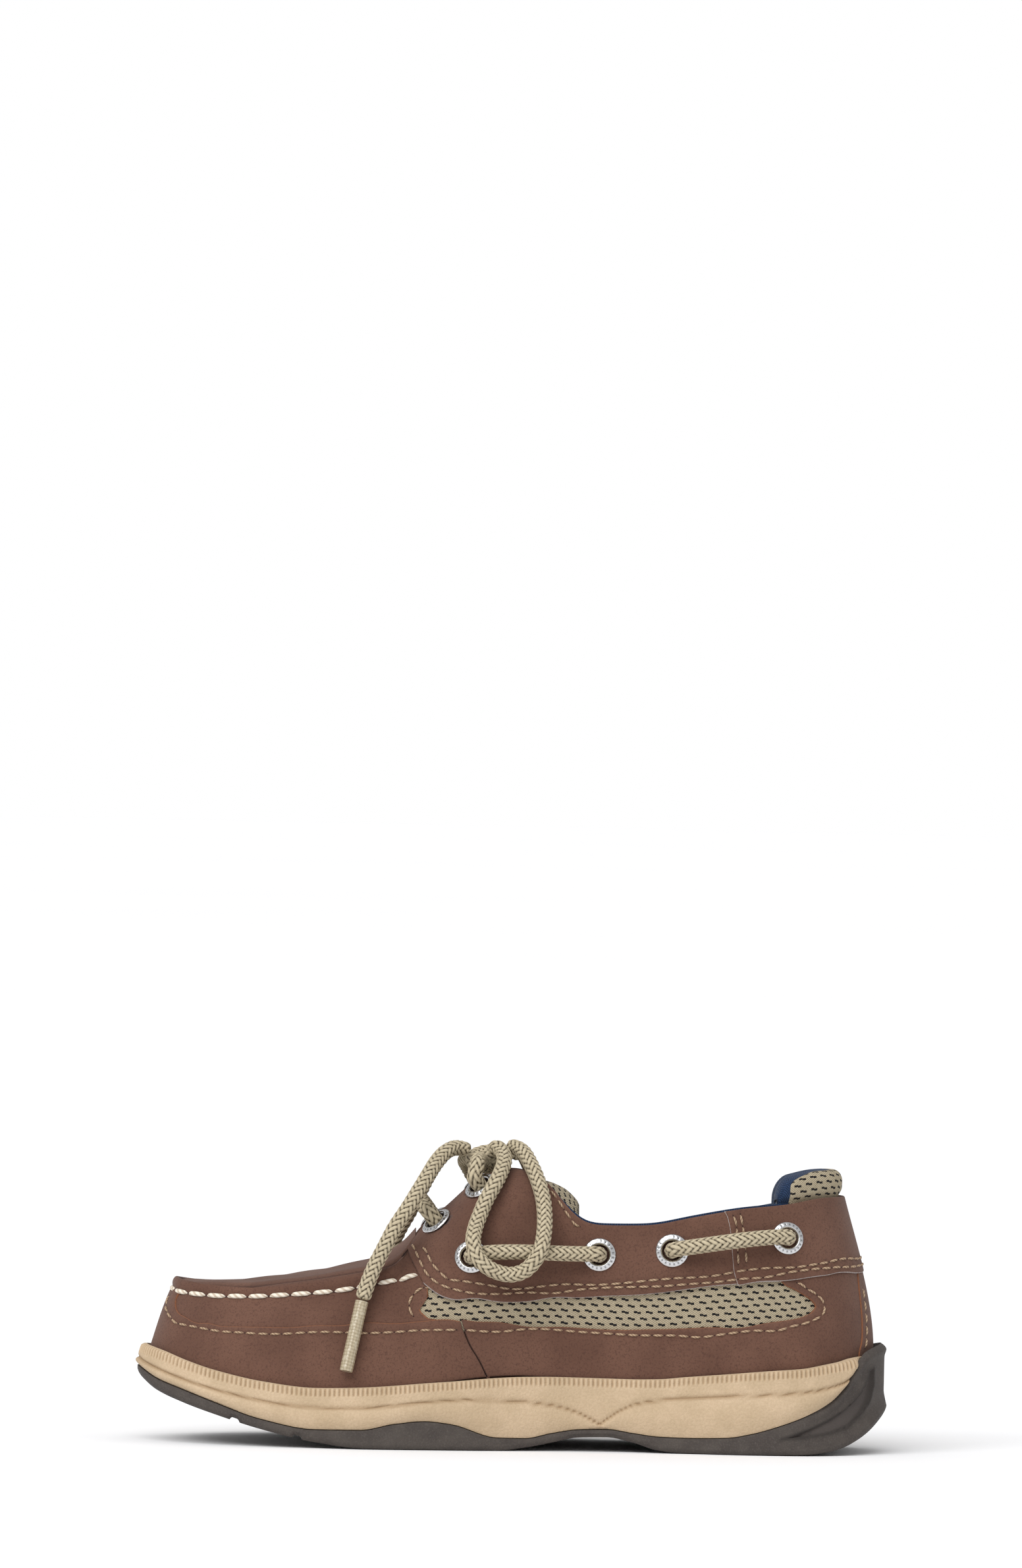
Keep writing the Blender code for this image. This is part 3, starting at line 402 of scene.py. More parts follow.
def braid(name, path, diameter, finish, stands_for):
    """Braided cord along a path.

    Two families of strands wind round it in opposite ways. Each strand is a half round, lifted where
    it passes over two of the other family and sunk under the next two; the higher one shows.
    """
    path = smooth_route(path, BRAID_STEP)
    run = run_along(path)
    turn = np.arange(BRAID_AROUND) / BRAID_AROUND
    one = turn[None, :] * BRAID_STRANDS + run[:, None] / BRAID_PITCH
    two = turn[None, :] * BRAID_STRANDS - run[:, None] / BRAID_PITCH

    def strand(across, along):
        ridge = np.sqrt(np.maximum(LEAST_SHARE, 1 - (2 * (across % 1) - 1) ** 2))
        over = np.tanh(BRAID_CROSSING * np.sin(np.pi / 2 * (along + np.floor(across))))
        return BRAID_ROUND * ridge, over

    ridge_one, over_one = strand(one, two)
    ridge_two, over_two = strand(two, one)
    high = np.maximum(ridge_one + BRAID_LIFT * over_one, ridge_two - BRAID_LIFT * over_two)
    core = diameter / 2 - BRAID_ROUND - BRAID_LIFT
    ends = np.minimum(run, run[-1] - run) / (diameter / 4)
    shrink = np.sqrt(np.clip(1 - (1 - np.clip(ends, 0, 1)) ** 2, LEAST_SHARE, 1))
    radius = (core + high) * shrink[:, None]
    points = round_tube(path, radius, tube_frame(path), turn)
    rows, columns = radius.shape
    count = rows * columns
    faces = [grid_faces(rows, columns, closed_columns=True)]
    for end, middle in ((0, count), (rows - 1, count + 1)):
        ring = end * columns + np.arange(columns)
        beside = np.roll(ring, 1 if end == 0 else -1)
        faces.append(np.stack([ring, beside, np.full(columns, middle)], 1))
    points = np.concatenate([points.reshape(-1, 3), path[[0, -1]]])
    # Each point's strand height, which the yarn finish reads to paint shade in the gaps.
    deep = np.concatenate([(high / (BRAID_ROUND + BRAID_LIFT)).ravel(), [0.5, 0.5]])
    uv = np.stack([np.broadcast_to(run[:, None], radius.shape).ravel(),
                   np.broadcast_to(turn[None, :] * np.pi * diameter, radius.shape).ravel()], 1)
    uv = np.concatenate([uv, uv[:2]])
    made = make_piece(name, points, faces, finish, {"deep": deep}, uv, stands_for=stands_for)
    return made, path


def khaki_finish():
    """Khaki yarn: its own colour on each stitch's crown, painted shade in the gaps between strands, with fine
    fibres.
    """
    finish, start, places = new_finish("khaki_yarn")
    deep = mark(start, "deep")
    fibre = start.noise(places, 0.00022, 2, 0.6)
    patch = start.noise(places, 0.0016, 3)
    yarn = patch.blend((0.42, 0.35, 0.235), (0.60, 0.52, 0.37))
    # Painted shade: where the strand lies low, the colour goes near black.
    colour = deep.between(0.50, 0.95).blend((0.045, 0.032, 0.018), yarn)
    colour = (fibre.between(0.58, 0.75) * 0.35).blend(colour, (0.66, 0.58, 0.43))
    shade(finish, Base_Color=colour, Roughness=0.86, Specular_IOR_Level=0.25,
          Normal=start.bump(fibre, 0.00012, 0.7))
    return finish


khaki = khaki_finish()


def eyelet_axis(name):
    """Centre of an eyelet's flange and the direction it faces, from its CAD ring."""
    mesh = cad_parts[name].data
    spots = np.zeros(len(mesh.vertices) * 3)
    mesh.vertices.foreach_get("co", spots)
    spots = spots.reshape(-1, 3)
    middle = spots.mean(0)
    axis = np.linalg.svd(spots - middle, full_matrices=False)[2][2]
    if axis @ (middle - np.array([middle[0], 0, middle[2] - 0.02])) < 0:
        axis = -axis
    along = (spots - middle) @ axis
    flange = along[np.linalg.norm(spots - middle - along[:, None] * axis, axis=1) > FLANGE_RADIUS]
    return middle + axis * (flange.mean() - FLANGE_OVER), axis


EYELETS = {name: eyelet_axis(name) for name in sorted(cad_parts) if name.startswith("eyelet_")}


def way_out(name, towards):
    """The lace's way out of an eyelet: up the hole, then bent over its lip towards the next one."""
    centre, axis = EYELETS[name]
    along = EYELETS[towards][0] - centre
    along = unit(along - axis * (along @ axis))
    lip = EYELET_HOLE / 2
    bend = LACE / 2 + LACE_CLEAR
    path = [(lip - bend, -LACE_HIDDEN)]
    path += [(lip - bend * np.cos(a), EYELET_LIP + bend * np.sin(a)) for a in np.radians((0, 30, 60, 90))]
    return [centre + along * r + axis * h for r, h in path]


def lace_bar(place, first, second):
    """The lace from one eyelet over the leather to the next."""
    first, second = f"eyelet_{first}", f"eyelet_{second}"
    braid(f"lace_bar_{place}", way_out(first, second) + way_out(second, first)[::-1], LACE, khaki,
          [f"lace_{place}"])


for side in ("medial", "lateral"):
    for first, second in ("ab", "cd"):
        lace_bar(f"{side}_{first}{second}", f"{side}_{first}", f"{side}_{second}")
lace_bar("throat", "medial_1", "lateral_1")
for side, leg, to_side in (("medial", LEG_MEDIAL, -0.001), ("lateral", LEG_LATERAL, 0.001)):
    centre, axis = EYELETS[f"eyelet_{side}_2"]
    out_of_eyelet = [centre + axis * high for high in (-LACE_HIDDEN, LACE_PAST_LIP, 0.8 * LACE)]
    route = [*out_of_eyelet, *shoe_place(leg), shoe_place(KNOT_PLACE) + [0, to_side, -0.001]]
    braid(f"lace_rise_{side}", route, LACE, khaki, [f"lace_leg_{side}"])


def clear_tip_finish():
    """Lace end sealed in a clear sleeve: glossy, with the braid showing dull inside."""
    finish, start, places = new_finish("sealed_tip")
    deep = mark(start, "deep")
    streak = start.noise(places, 0.0012, 3)
    inner = deep.between(0.1, 0.9).blend((0.29, 0.23, 0.14), (0.44, 0.37, 0.25))
    colour = (streak.between(0.5, 0.7) * 0.4).blend(inner, (0.66, 0.60, 0.47))
    shade(finish, Base_Color=colour, Roughness=0.35, Coat_Weight=0.9, Coat_Roughness=0.12)
    return finish


TIP = 0.0039
TIP_ROWS, TIP_AROUND = 90, 36
TIP_STRANDS, TIP_PITCH, TIP_WEAVE = 6, 0.0019, 0.00002
TIP_END = 0.0001
tip_finish = clear_tip_finish()


def lace_tip(side, points):
    """A straight sleeve: two crossing waves press a faint weave into it, and its end is drawn in."""
    ends = shoe_place(points)
    share = np.linspace(0, 1, TIP_ROWS)[:, None]
    path = ends[0] + share * (ends[1] - ends[0])
    barely_bent = path + np.sin(np.linspace(0, 3, TIP_ROWS))[:, None] * [0, 1e-5, 0]
    turn = np.arange(TIP_AROUND) / TIP_AROUND
    one, two = (2 * np.pi * (turn[None, :] * TIP_STRANDS + way * run_along(path)[:, None] / TIP_PITCH)
                for way in (1, -1))
    weave = np.sin(one) * np.sin(two)
    radius = TIP / 2 + TIP_WEAVE * weave - TIP_END * (share > 0.985)
    points = round_tube(path, radius, tube_frame(barely_bent), turn)
    ring = np.arange(TIP_AROUND)[None, :]
    faces = [grid_faces(TIP_ROWS, TIP_AROUND, closed_columns=True), ring[:, ::-1],
             (TIP_ROWS - 1) * TIP_AROUND + ring]
    return make_piece(f"lace_tip_{side}", points.reshape(-1, 3), faces, tip_finish,
                      {"deep": 0.5 + 0.5 * weave}, sharp=0.8, stands_for=[f"aglet_{side}"])


# The knot's two wraps: how far each leans over in radians, its lift and its half width
KNOT_WRAPS = ((0.5, 0.0012, 0.0031), (-0.6, -0.0012, 0.0028))


def knot_wrap(number, lean, lift, wide):
    """One leaning turn of the lace round the knot's middle."""
    turn = np.linspace(-0.15, 2 * np.pi + 0.15, 24)
    along = np.cos(turn) * wide + np.sin(turn) * 0.0010
    across = np.sin(turn) * np.cos(lean) * wide + turn * 0.0002
    high = np.sin(turn) * np.sin(lean) * wide * 0.6 + lift + 0.0005 * np.cos(turn)
    return braid(f"lace_knot_wrap_{number}", shoe_place(KNOT_PLACE) + np.stack([along, across, high], 1),
                 LACE * 0.95, khaki, ["lace_knot"] if number == 0 else [])[0]


def free_lace(name, points):
    """A loop or an end of the bow: a limp cord of its own length from the knot."""
    made, path = braid(f"lace_{name}_braid", shoe_place(points), LACE, khaki, [f"lace_{name}"])


tip_medial, tip_lateral = lace_tip("medial", AGLET_MEDIAL), lace_tip("lateral", AGLET_LATERAL)
wraps = [knot_wrap(number, *wrap) for number, wrap in enumerate(KNOT_WRAPS)]
free_lace("loop_medial", LOOP_MEDIAL)
free_lace("loop_lateral", LOOP_LATERAL)
free_lace("end_medial", END_MEDIAL)
free_lace("end_lateral", END_LATERAL)



# Outsole: one moulded shell of dark grey-brown rubber. Its tread is a sheet that bends along the
# shoe, its low wall waves along the midsole, and at the heel it rises as a cup with a sunk panel.

BALL_WIDTH = 0.082
INSTEP_HEIGHT = 0.0826
SOLE_HEIGHT = 0.020
GAP = 0.0003
WALL = 0.002
CUP_DEPTH = 0.004
OUTSOLE_WALL = 0.0022
OUTSOLE_PLATE = 0.0016
OUTSOLE_ROUND = 0.0016
SOLE_INNER = 0.009
FINE = 2400
BLUR = 0.0032
AROUND = 0.56

# The last: lengths as shares of LENGTH, widths of BALL_WIDTH and heights of INSTEP_HEIGHT
LAST_COLUMNS = ("along", "medial", "lateral", "top_along", "top_medial", "top_lateral",
                "top_high", "lateral_drop", "inset", "rise", "flare", "fall", "lean")
LAST = (
    (0.000, -0.134, -0.134, 0.048, -0.095, -0.095, 0.577, 0.000, 0.036, 0.09, -0.028, 0.07, 0.040),
    (0.016, -0.262, -0.006, 0.054, -0.171, -0.024, 0.574, 0.000, 0.036, 0.09, -0.024, 0.07, 0.045),
    (0.050, -0.360, 0.152, 0.078, -0.232, 0.085, 0.571, 0.005, 0.036, 0.09, -0.018, 0.07, 0.052),
    (0.108, -0.439, 0.305, 0.131, -0.287, 0.195, 0.572, 0.010, 0.036, 0.10, -0.010, 0.07, 0.060),
    (0.198, -0.488, 0.433, 0.206, -0.329, 0.293, 0.595, 0.012, 0.036, 0.12, 0.000, 0.08, 0.062),
    (0.297, -0.500, 0.494, 0.298, -0.350, 0.345, 0.638, 0.012, 0.036, 0.14, 0.004, 0.09, 0.060),
    (0.342, -0.492, 0.500, 0.348, -0.348, 0.348, 0.668, 0.010, 0.036, 0.16, 0.004, 0.09, 0.060),
    (0.378, -0.476, 0.500, 0.371, -0.145, 0.145, 0.772, 0.006, 0.036, 0.28, 0.008, 0.005, 0.205),
    (0.414, -0.460, 0.498, 0.405, -0.146, 0.146, 0.842, 0.012, 0.036, 0.35, 0.008, 0.000, 0.215),
    (0.450, -0.440, 0.491, 0.446, -0.159, 0.159, 0.954, 0.012, 0.036, 0.41, 0.008, 0.005, 0.210),
    (0.495, -0.409, 0.476, 0.491, -0.189, 0.189, 0.998, 0.012, 0.036, 0.42, 0.012, 0.040, 0.180),
    (0.541, -0.384, 0.457, 0.533, -0.232, 0.232, 0.979, 0.017, 0.036, 0.36, 0.016, 0.13, 0.100),
    (0.572, -0.371, 0.445, 0.563, -0.276, 0.280, 0.884, 0.024, 0.036, 0.30, 0.020, 0.15, 0.050),
    (0.599, -0.365, 0.435, 0.592, -0.302, 0.310, 0.809, 0.030, 0.037, 0.22, 0.024, 0.16, 0.034),
    (0.676, -0.359, 0.415, 0.671, -0.302, 0.312, 0.811, 0.036, 0.038, 0.20, 0.026, 0.17, 0.034),
    (0.743, -0.366, 0.399, 0.734, -0.295, 0.302, 0.843, 0.036, 0.040, 0.20, 0.026, 0.18, 0.034),
    (0.811, -0.378, 0.388, 0.802, -0.274, 0.280, 0.876, 0.028, 0.044, 0.20, 0.020, 0.18, 0.036),
    (0.883, -0.360, 0.360, 0.857, -0.230, 0.234, 0.891, 0.012, 0.050, 0.20, 0.014, 0.18, 0.040),
    (0.950, -0.274, 0.274, 0.905, -0.151, 0.153, 0.915, 0.003, 0.056, 0.20, 0.014, 0.18, 0.044),
    (0.986, -0.146, 0.146, 0.927, -0.085, 0.085, 0.917, 0.000, 0.058, 0.20, 0.016, 0.18, 0.046),
    (1.000, 0.000, 0.000, 0.935, 0.000, 0.000, 0.917, 0.000, 0.058, 0.20, 0.016, 0.18, 0.048),
)

# The sole seen from the side: where along LENGTH, then heights as shares of SOLE_HEIGHT
SOLE_COLUMNS = ("along", "bottom", "wave", "band")
SOLE = (
    (0.000, 0.98, 1.10, 1.42), (0.027, 0.77, 0.93, 1.35), (0.063, 0.61, 0.79, 1.22),
    (0.099, 0.48, 0.65, 1.11), (0.168, 0.26, 0.40, 0.96), (0.239, 0.09, 0.27, 0.885),
    (0.300, 0.01, 0.275, 0.905), (0.345, 0.00, 0.37, 0.94), (0.385, 0.00, 0.415, 0.98),
    (0.420, 0.00, 0.375, 1.01), (0.482, 0.00, 0.185, 1.07), (0.518, 0.05, 0.18, 1.09),
    (0.554, 0.13, 0.26, 1.095), (0.590, 0.21, 0.32, 1.09), (0.626, 0.22, 0.33, 1.085),
    (0.660, 0.15, 0.28, 1.08), (0.694, 0.04, 0.235, 1.09), (0.730, 0.00, 0.225, 1.13),
    (0.784, 0.00, 0.24, 1.185), (0.818, 0.00, 0.305, 1.22), (0.851, 0.00, 0.41, 1.25),
    (0.887, 0.01, 0.56, 1.28), (0.923, 0.06, 0.78, 1.345), (0.941, 0.12, 0.98, 1.38),
    (0.959, 0.22, 1.28, 1.43), (0.977, 0.36, 1.52, 1.45), (1.000, 0.62, 1.62, 1.45),
)
FLEX_GROOVES = (0.133, 0.216)
GROOVE_WIDTH = 0.0028
GROOVE_DEPTH = 0.0009
SIPE_PITCH = 0.0042
SIPE_ZIGZAG = 0.0035

# The cup's sunk panel, its outline in the photograph's pixels
CUP_PANEL = ((1184, 2185), (1200, 2180), (1220, 2173), (1240, 2165), (1260, 2156), (1280, 2143),
             (1300, 2126), (1310, 2113), (1318, 2098), (1322, 2082), (1328, 2078), (1328, 2102),
             (1321, 2128), (1311, 2144), (1302, 2154), (1290, 2166), (1260, 2176), (1220, 2183))
PANEL_SUNK, PANEL_EDGE, PANEL_SHADE_WIDE = 0.0010, 0.0007, 0.0006
PANEL_RIM, PANEL_RIM_WIDE = 0.0004, 0.0009

# The cup starts at a share of LENGTH and is full after another. Under its rounded top edge runs a bead;
# the wall is tucked in above its foot, most at the waist, each with its height and half width.
CUP_FROM, CUP_OVER = 0.87, 0.08
CUP_ROUND, CUP_ROUND_HIGH = 0.0015, 0.0030
CUP_BEAD, BEAD_DOWN, BEAD_WIDE = 0.0007, 0.0016, 0.0013
CUP_TUCK, TUCK_HIGH = 0.0009, 0.004
CUP_WAIST, WAIST_HIGH, WAIST_WIDE = 0.0009, 0.009, 0.004
WALL_LEAST = 0.001
LIP_SOFT = 0.45


def table(rows, columns):
    """A table's columns by name, as arrays."""
    return dict(zip(columns, np.array(rows, float).T))


def blurred(y, width):
    """A closed row of samples smoothed with a bell of the given width, as a share of the turn."""
    place = np.minimum(np.arange(len(y)), len(y) - np.arange(len(y))) / len(y)
    bell = np.exp(-0.5 * (place / width) ** 2)
    return np.real(np.fft.ifft(np.fft.fft(y) * np.fft.fft(bell / bell.sum())))


def last_rings():
    """The last's columns at FINE stations round the shoe: toe tip, medial side, heel, lateral side."""
    rows = table(LAST, LAST_COLUMNS)
    back = np.arange(len(rows["along"]) - 2, 0, -1)
    around = {"x": (rows["along"], rows["along"], LENGTH),
              "y": (rows["medial"], rows["lateral"], BALL_WIDTH),
              "top_x": (rows["top_along"], rows["top_along"], LENGTH),
              "top_y": (rows["top_medial"], rows["top_lateral"], BALL_WIDTH),
              "top_z": (rows["top_high"], rows["top_high"] - rows["lateral_drop"], INSTEP_HEIGHT),
              "inset": (rows["inset"], rows["inset"], BALL_WIDTH)}
    for name in ("rise", "flare", "fall", "lean"):
        around[name] = (rows[name], rows[name], INSTEP_HEIGHT)
    mean_half = (rows["lateral"] - rows["medial"]) / 2 * BALL_WIDTH
    run = run_along(np.stack([rows["along"] * LENGTH, mean_half], 1))
    one_side = run / run[-1] / 2
    knots = np.concatenate([one_side, 1 - one_side[back]])
    turns = np.concatenate([knots - 1, knots, knots + 1])
    rings = {}
    for name, (medial, lateral, size) in around.items():
        values = np.tile(np.concatenate([medial, lateral[back]]) * size, 3)
        rings[name] = blurred(curve(turns, values, STATION), BLUR / (2 * run[-1]))
    rings["x"] = (rings["x"] - rings["x"].min()) / np.ptp(rings["x"]) * LENGTH
    step_x, step_y = (np.roll(rings[name], -1) - np.roll(rings[name], 1) for name in ("x", "y"))
    rings["out_x"], rings["out_y"] = step_y / np.hypot(step_x, step_y), -step_x / np.hypot(step_x, step_y)
    middle = (rings["y"].max() + rings["y"].min()) / 2
    return {name: values - middle if name in ("y", "top_y") else values for name, values in rings.items()}


STATION = np.arange(FINE) / FINE
RINGS = last_rings()
SIDE = table(SOLE, SOLE_COLUMNS)


def sole_height(name, x):
    """Height of one of the sole's side curves at x from the toe; the tread has its flex grooves cut."""
    high = curve(SIDE["along"], SIDE[name], np.clip(x / LENGTH, 0, 1)) * SOLE_HEIGHT
    if name == "bottom":
        for along in FLEX_GROOVES:
            off = np.abs(x - along * LENGTH)
            high = high + GROOVE_DEPTH * np.clip((GROOVE_WIDTH / 2 - off) / 0.0006, 0, 1) ** 0.5
    return high


def edge_ring(inset, name, lift=0.0, step=1):
    """The sole's edge moved inwards, at the height of a side curve plus lift."""
    r = {key: values[::step] for key, values in RINGS.items()}
    x, y = r["x"] - inset * r["out_x"], r["y"] - inset * r["out_y"]
    return np.stack([x, y, sole_height(name, x if name == "bottom" else r["x"]) + lift], 1)


def pixel_of(points):
    """The photograph's pixels for places in the shoe's frame, seen along parallel rays."""
    across = TOE_PIXEL + (points[..., 0] + LENGTH / 2 + TILT * points[..., 2]) / PIXEL
    floor_line = FLOOR_PIXEL + TILT * (across - FLOOR_PIXEL_AT)
    return np.stack([across, floor_line - (LOOK_DOWN * points[..., 1] + points[..., 2]) / PIXEL], -1)


def inside(points, outline):
    """Whether flat points lie in a closed outline: how many of its edges a ray to the right crosses."""
    a, b = outline, np.roll(outline, -1, 0)
    x, y = points[:, 0, None], points[:, 1, None]
    spans = (a[:, 1] > y) != (b[:, 1] > y)
    rise = np.where(b[:, 1] == a[:, 1], 1, b[:, 1] - a[:, 1])
    return (spans & (x < a[:, 0] + (y - a[:, 1]) / rise * (b[:, 0] - a[:, 0]))).sum(1) % 2 == 1


def distance_to(points, line, closed=False):
    """Distance of flat points from a polyline, measured to its segments."""
    a, b = (line, np.roll(line, -1, 0)) if closed else (line[:-1], line[1:])
    best = np.full(len(points), np.inf)
    for start, end in zip(a, b):
        span = end - start
        t = np.clip(((points - start) @ span) / max(span @ span, 1e-18), 0, 1)
        best = np.minimum(best, np.linalg.norm(points - start - t[:, None] * span, axis=1))
    return best


def ladder(count, first, flip=False):
    """Faces that close a ring of count points across, from toe to heel, station facing station."""
    k = np.arange(1, count // 2 - 1)
    quads = first + np.stack([k, k + 1, count - k - 1, count - k], 1)
    ends = first + np.array([(0, 1, count - 1), (count // 2 - 1, count // 2, count // 2 + 1)])
    return [quads[:, ::-1], ends[:, ::-1]] if flip else [quads, ends]


def ring_piece(name, rings, finish, marks=None, stands_for=(), sharp=None):
    """A closed solid from rings of equal count, closed across at the first and the last."""
    count, rows = len(rings[0]), len(rings)
    points = np.concatenate(rings) - [LENGTH / 2, 0, 0]
    faces = [grid_faces(rows, count, closed_columns=True), *ladder(count, 0, flip=True),
             *ladder(count, (rows - 1) * count)]
    uv = np.stack([np.tile(STATION[::FINE // count] * AROUND, rows), points[:, 2]], 1)
    return make_piece(name, points, faces, finish, marks, uv, sharp, stands_for)


def rubber_finish():
    """Dark grey-brown rubber: fine sandy grain on the wall, smooth in the panel, siped tread; painted shade
    in the sipes and along the sunk panel's border.
    """
    finish, start, places = new_finish("dark_rubber")
    grain = start.noise(places, 0.00055, 4, 0.7)
    cloud = start.noise(places, 0.006, 2)
    smooth, tread = mark(start, "smooth"), mark(start, "tread")
    colour = cloud.between(0.3, 0.7).blend((0.052, 0.042, 0.037), (0.070, 0.058, 0.050))
    colour = (grain.between(0.45, 0.75) * 0.45 * (1 - smooth)).blend(colour, (0.125, 0.108, 0.096))
    colour = (smooth * 0.8).blend(colour, (0.080, 0.066, 0.060))
    along, sideways = axes_of(places)
    zigzag = sideways.maths("PINGPONG", SIPE_ZIGZAG)
    sipe = ((along + zigzag * 0.6) % SIPE_PITCH).between(0.0001, 0.0007)
    # Painted shade: the tread's sipes are coloured dark for the shade inside their cuts.
    colour = ((1 - sipe) * tread).blend(colour, (0.03, 0.025, 0.022))
    # Painted shadow along the border of the cup's sunk panel.
    colour = (mark(start, "panel_edge_shade") * 0.7).blend(colour, (0.018, 0.014, 0.012))
    fine = start.bump(grain, 0.00022, 0.8)
    shade(finish, Base_Color=colour, Roughness=0.72, Specular_IOR_Level=0.35,
          Normal=start.bump(sipe * tread, 0.0008, 1.0, under=fine))
    return finish


def cup_panel(walls):
    """How far points of the wall lie from the panel's outline, and how sunk they are, from 0 to 1.

    Both sides are measured as the near one, seen in the photograph.
    """
    near = np.stack([walls[..., 0] - LENGTH / 2, -np.abs(walls[..., 1]), walls[..., 2]], -1).reshape(-1, 3)
    outline = np.array(CUP_PANEL, float)
    off = distance_to(pixel_of(near), outline, closed=True) * PIXEL
    sunk = np.where(inside(pixel_of(near), outline), np.clip(off / PANEL_EDGE, 0, 1), 0)
    return off.reshape(walls.shape[:2]), (sunk * sunk * (3 - 2 * sunk)).reshape(walls.shape[:2])


def outsole():
    """Rings from the tread's middle out round its edge, up the wall, over its top and down inside."""
    step = 2
    wave = edge_ring(0, "wave", step=step)[:, 2]
    rings = [edge_ring(inset, "bottom", step=step) for inset in (SOLE_INNER, 0.006, 0.0035)]
    flat_rows = len(rings)
    for angle in np.radians((0, 25, 50, 75)):
        rings.append(edge_ring(OUTSOLE_ROUND * (1 - np.sin(angle)), "bottom",
                               OUTSOLE_ROUND * (1 - np.cos(angle)), step))
    foot = edge_ring(0, "bottom", OUTSOLE_ROUND, step)[:, 2]
    foot = np.minimum(foot, wave - WALL_LEAST)
    for ring in rings[flat_rows:]:
        ring[:, 2] = np.minimum(ring[:, 2], wave - WALL_LEAST)
    shares = np.concatenate([np.linspace(0, 0.9, 24), [0.925, 0.95, 0.97, 0.99]])
    walls = np.repeat(edge_ring(0, "wave", step=step)[None], len(shares), 0)
    walls[..., 2] = foot + shares[:, None] * (wave - foot)
    off, sunk = cup_panel(walls)
    under_top = wave[None, :] - walls[..., 2]
    at_heel = np.clip((walls[..., 0] / LENGTH - CUP_FROM) / CUP_OVER, 0, 1)
    bead = at_heel * np.exp(-((under_top - BEAD_DOWN) / BEAD_WIDE) ** 2)
    rim = at_heel * np.exp(-(off / PANEL_RIM_WIDE) ** 2) * (sunk < 0.01)
    near_top = np.clip(1 - under_top / CUP_ROUND_HIGH, 0, 1)
    rounded = CUP_ROUND * at_heel * (1 - np.sqrt(1 - near_top ** 2))
    waist = CUP_WAIST * np.exp(-((walls[..., 2] - WAIST_HIGH) / WAIST_WIDE) ** 2) * (1 - sunk)
    relief = (CUP_BEAD * bead + PANEL_RIM * rim - PANEL_SUNK * sunk - rounded
              - at_heel * (CUP_TUCK + waist) * np.clip((walls[..., 2] - foot) / TUCK_HIGH, 0, 1))
    walls += relief[..., None] * np.stack([RINGS["out_x"], RINGS["out_y"], 0 * STATION], 1)[::step]
    rings += list(walls)
    back = (CUP_TUCK + CUP_ROUND - 0.0004) * at_heel[-1]
    lip = LIP_SOFT * (OUTSOLE_WALL / 2)
    rings += [edge_ring(np.maximum(lip * 0.35, back), "wave", 0.00004, step),
              edge_ring(np.maximum(lip, back + 0.0001), "wave", 0.00006, step),
              edge_ring(OUTSOLE_WALL - lip * 0.4, "wave", 0.00005, step),
              edge_ring(OUTSOLE_WALL, "wave", -0.0004, step),
              edge_ring(OUTSOLE_WALL, "bottom", OUTSOLE_PLATE, step),
              edge_ring(SOLE_INNER, "bottom", OUTSOLE_PLATE, step)]
    smooth, tread, panel_edge_shade = np.zeros((3, len(rings), len(rings[0])))
    wall_rows = slice(flat_rows + 4, flat_rows + 4 + len(shares))
    smooth[wall_rows] = sunk
    tread[:flat_rows] = 1
    # Painted shadow: a dark band along the sunk panel's outline.
    panel_edge_shade[wall_rows] = np.exp(-(off / PANEL_SHADE_WIDE) ** 2)
    return ring_piece("outsole_rubber", rings, rubber_finish(),
                      {"smooth": smooth, "tread": tread, "panel_edge_shade": panel_edge_shade}, ["outsole"], sharp=0.9)


outsole()


# Midsole: tan moulded foam set into the outsole. Fine upright ribs run round under the leather, a
# pressed line runs along the side, and two soft swellings meet in a point behind the arch.

RIM_LEAST = 0.003
RIM_FLARE = 0.35
FLOOR_INNER = 0.012
MIDSOLE_FLANK = ((0.0004, 0.02), (0.0, 0.30), (0.0005, 0.70), (0.0011, 1.0))
RIB_PITCH = 0.0014
RIB_DEEP = 0.00048
RIB_BAND = 0.0026
BAND_EDGE = 0.0002
BAND_STEP, BAND_STEP_HIGH = 0.00022, 0.0003
TOP_ROUND, TOP_ROUND_HIGH = 0.0006, 0.0007
LINE_UNDER_TOP = 0.0015
LINE_DEEP = 0.0005
LINE_WIDE = 0.00042
LOBE = 0.0007
SIDE_LINE = ((212, 2060), (220, 2067), (240, 2077), (260, 2086), (300, 2101), (340, 2113), (380, 2123),
             (420, 2131), (460, 2136), (500, 2138.5), (560, 2138), (600, 2135), (640, 2130), (680, 2127),
             (720, 2125.5), (760, 2127), (800, 2129), (840, 2134), (860, 2139), (880, 2146), (900, 2157),
             (910, 2163), (920, 2155), (940, 2142), (960, 2133), (980, 2129), (1020, 2124), (1060, 2122),
             (1100, 2121), (1160, 2119), (1200, 2117), (1240, 2112), (1260, 2107), (1280, 2100),
             (1300, 2087))


def foam_finish():
    """Tan foam: sandy grain, with painted shade in the pressed line and between the ribs."""
    finish, start, places = new_finish("tan_foam")
    grain = start.noise(places, 0.0007, 4, 0.65)
    cloud = start.noise(places, 0.01, 2)
    low = mark(start, "low")
    colour = cloud.between(0.3, 0.7).blend((0.51, 0.385, 0.25), (0.58, 0.44, 0.295))
    grainy = grain.between(0.35, 0.62) * 0.22 * (1 - mark(start, "ribbed"))
    colour = grainy.blend(colour, (0.33, 0.23, 0.135))
    # Painted shade where the surface lies low: in the pressed line and between the ribs.
    colour = (low * 0.8).blend(colour, (0.25, 0.15, 0.07))
    shade(finish, Base_Color=colour, Roughness=0.8, Specular_IOR_Level=0.3,
          Normal=start.bump(grain, 0.00035, 0.75))
    return finish


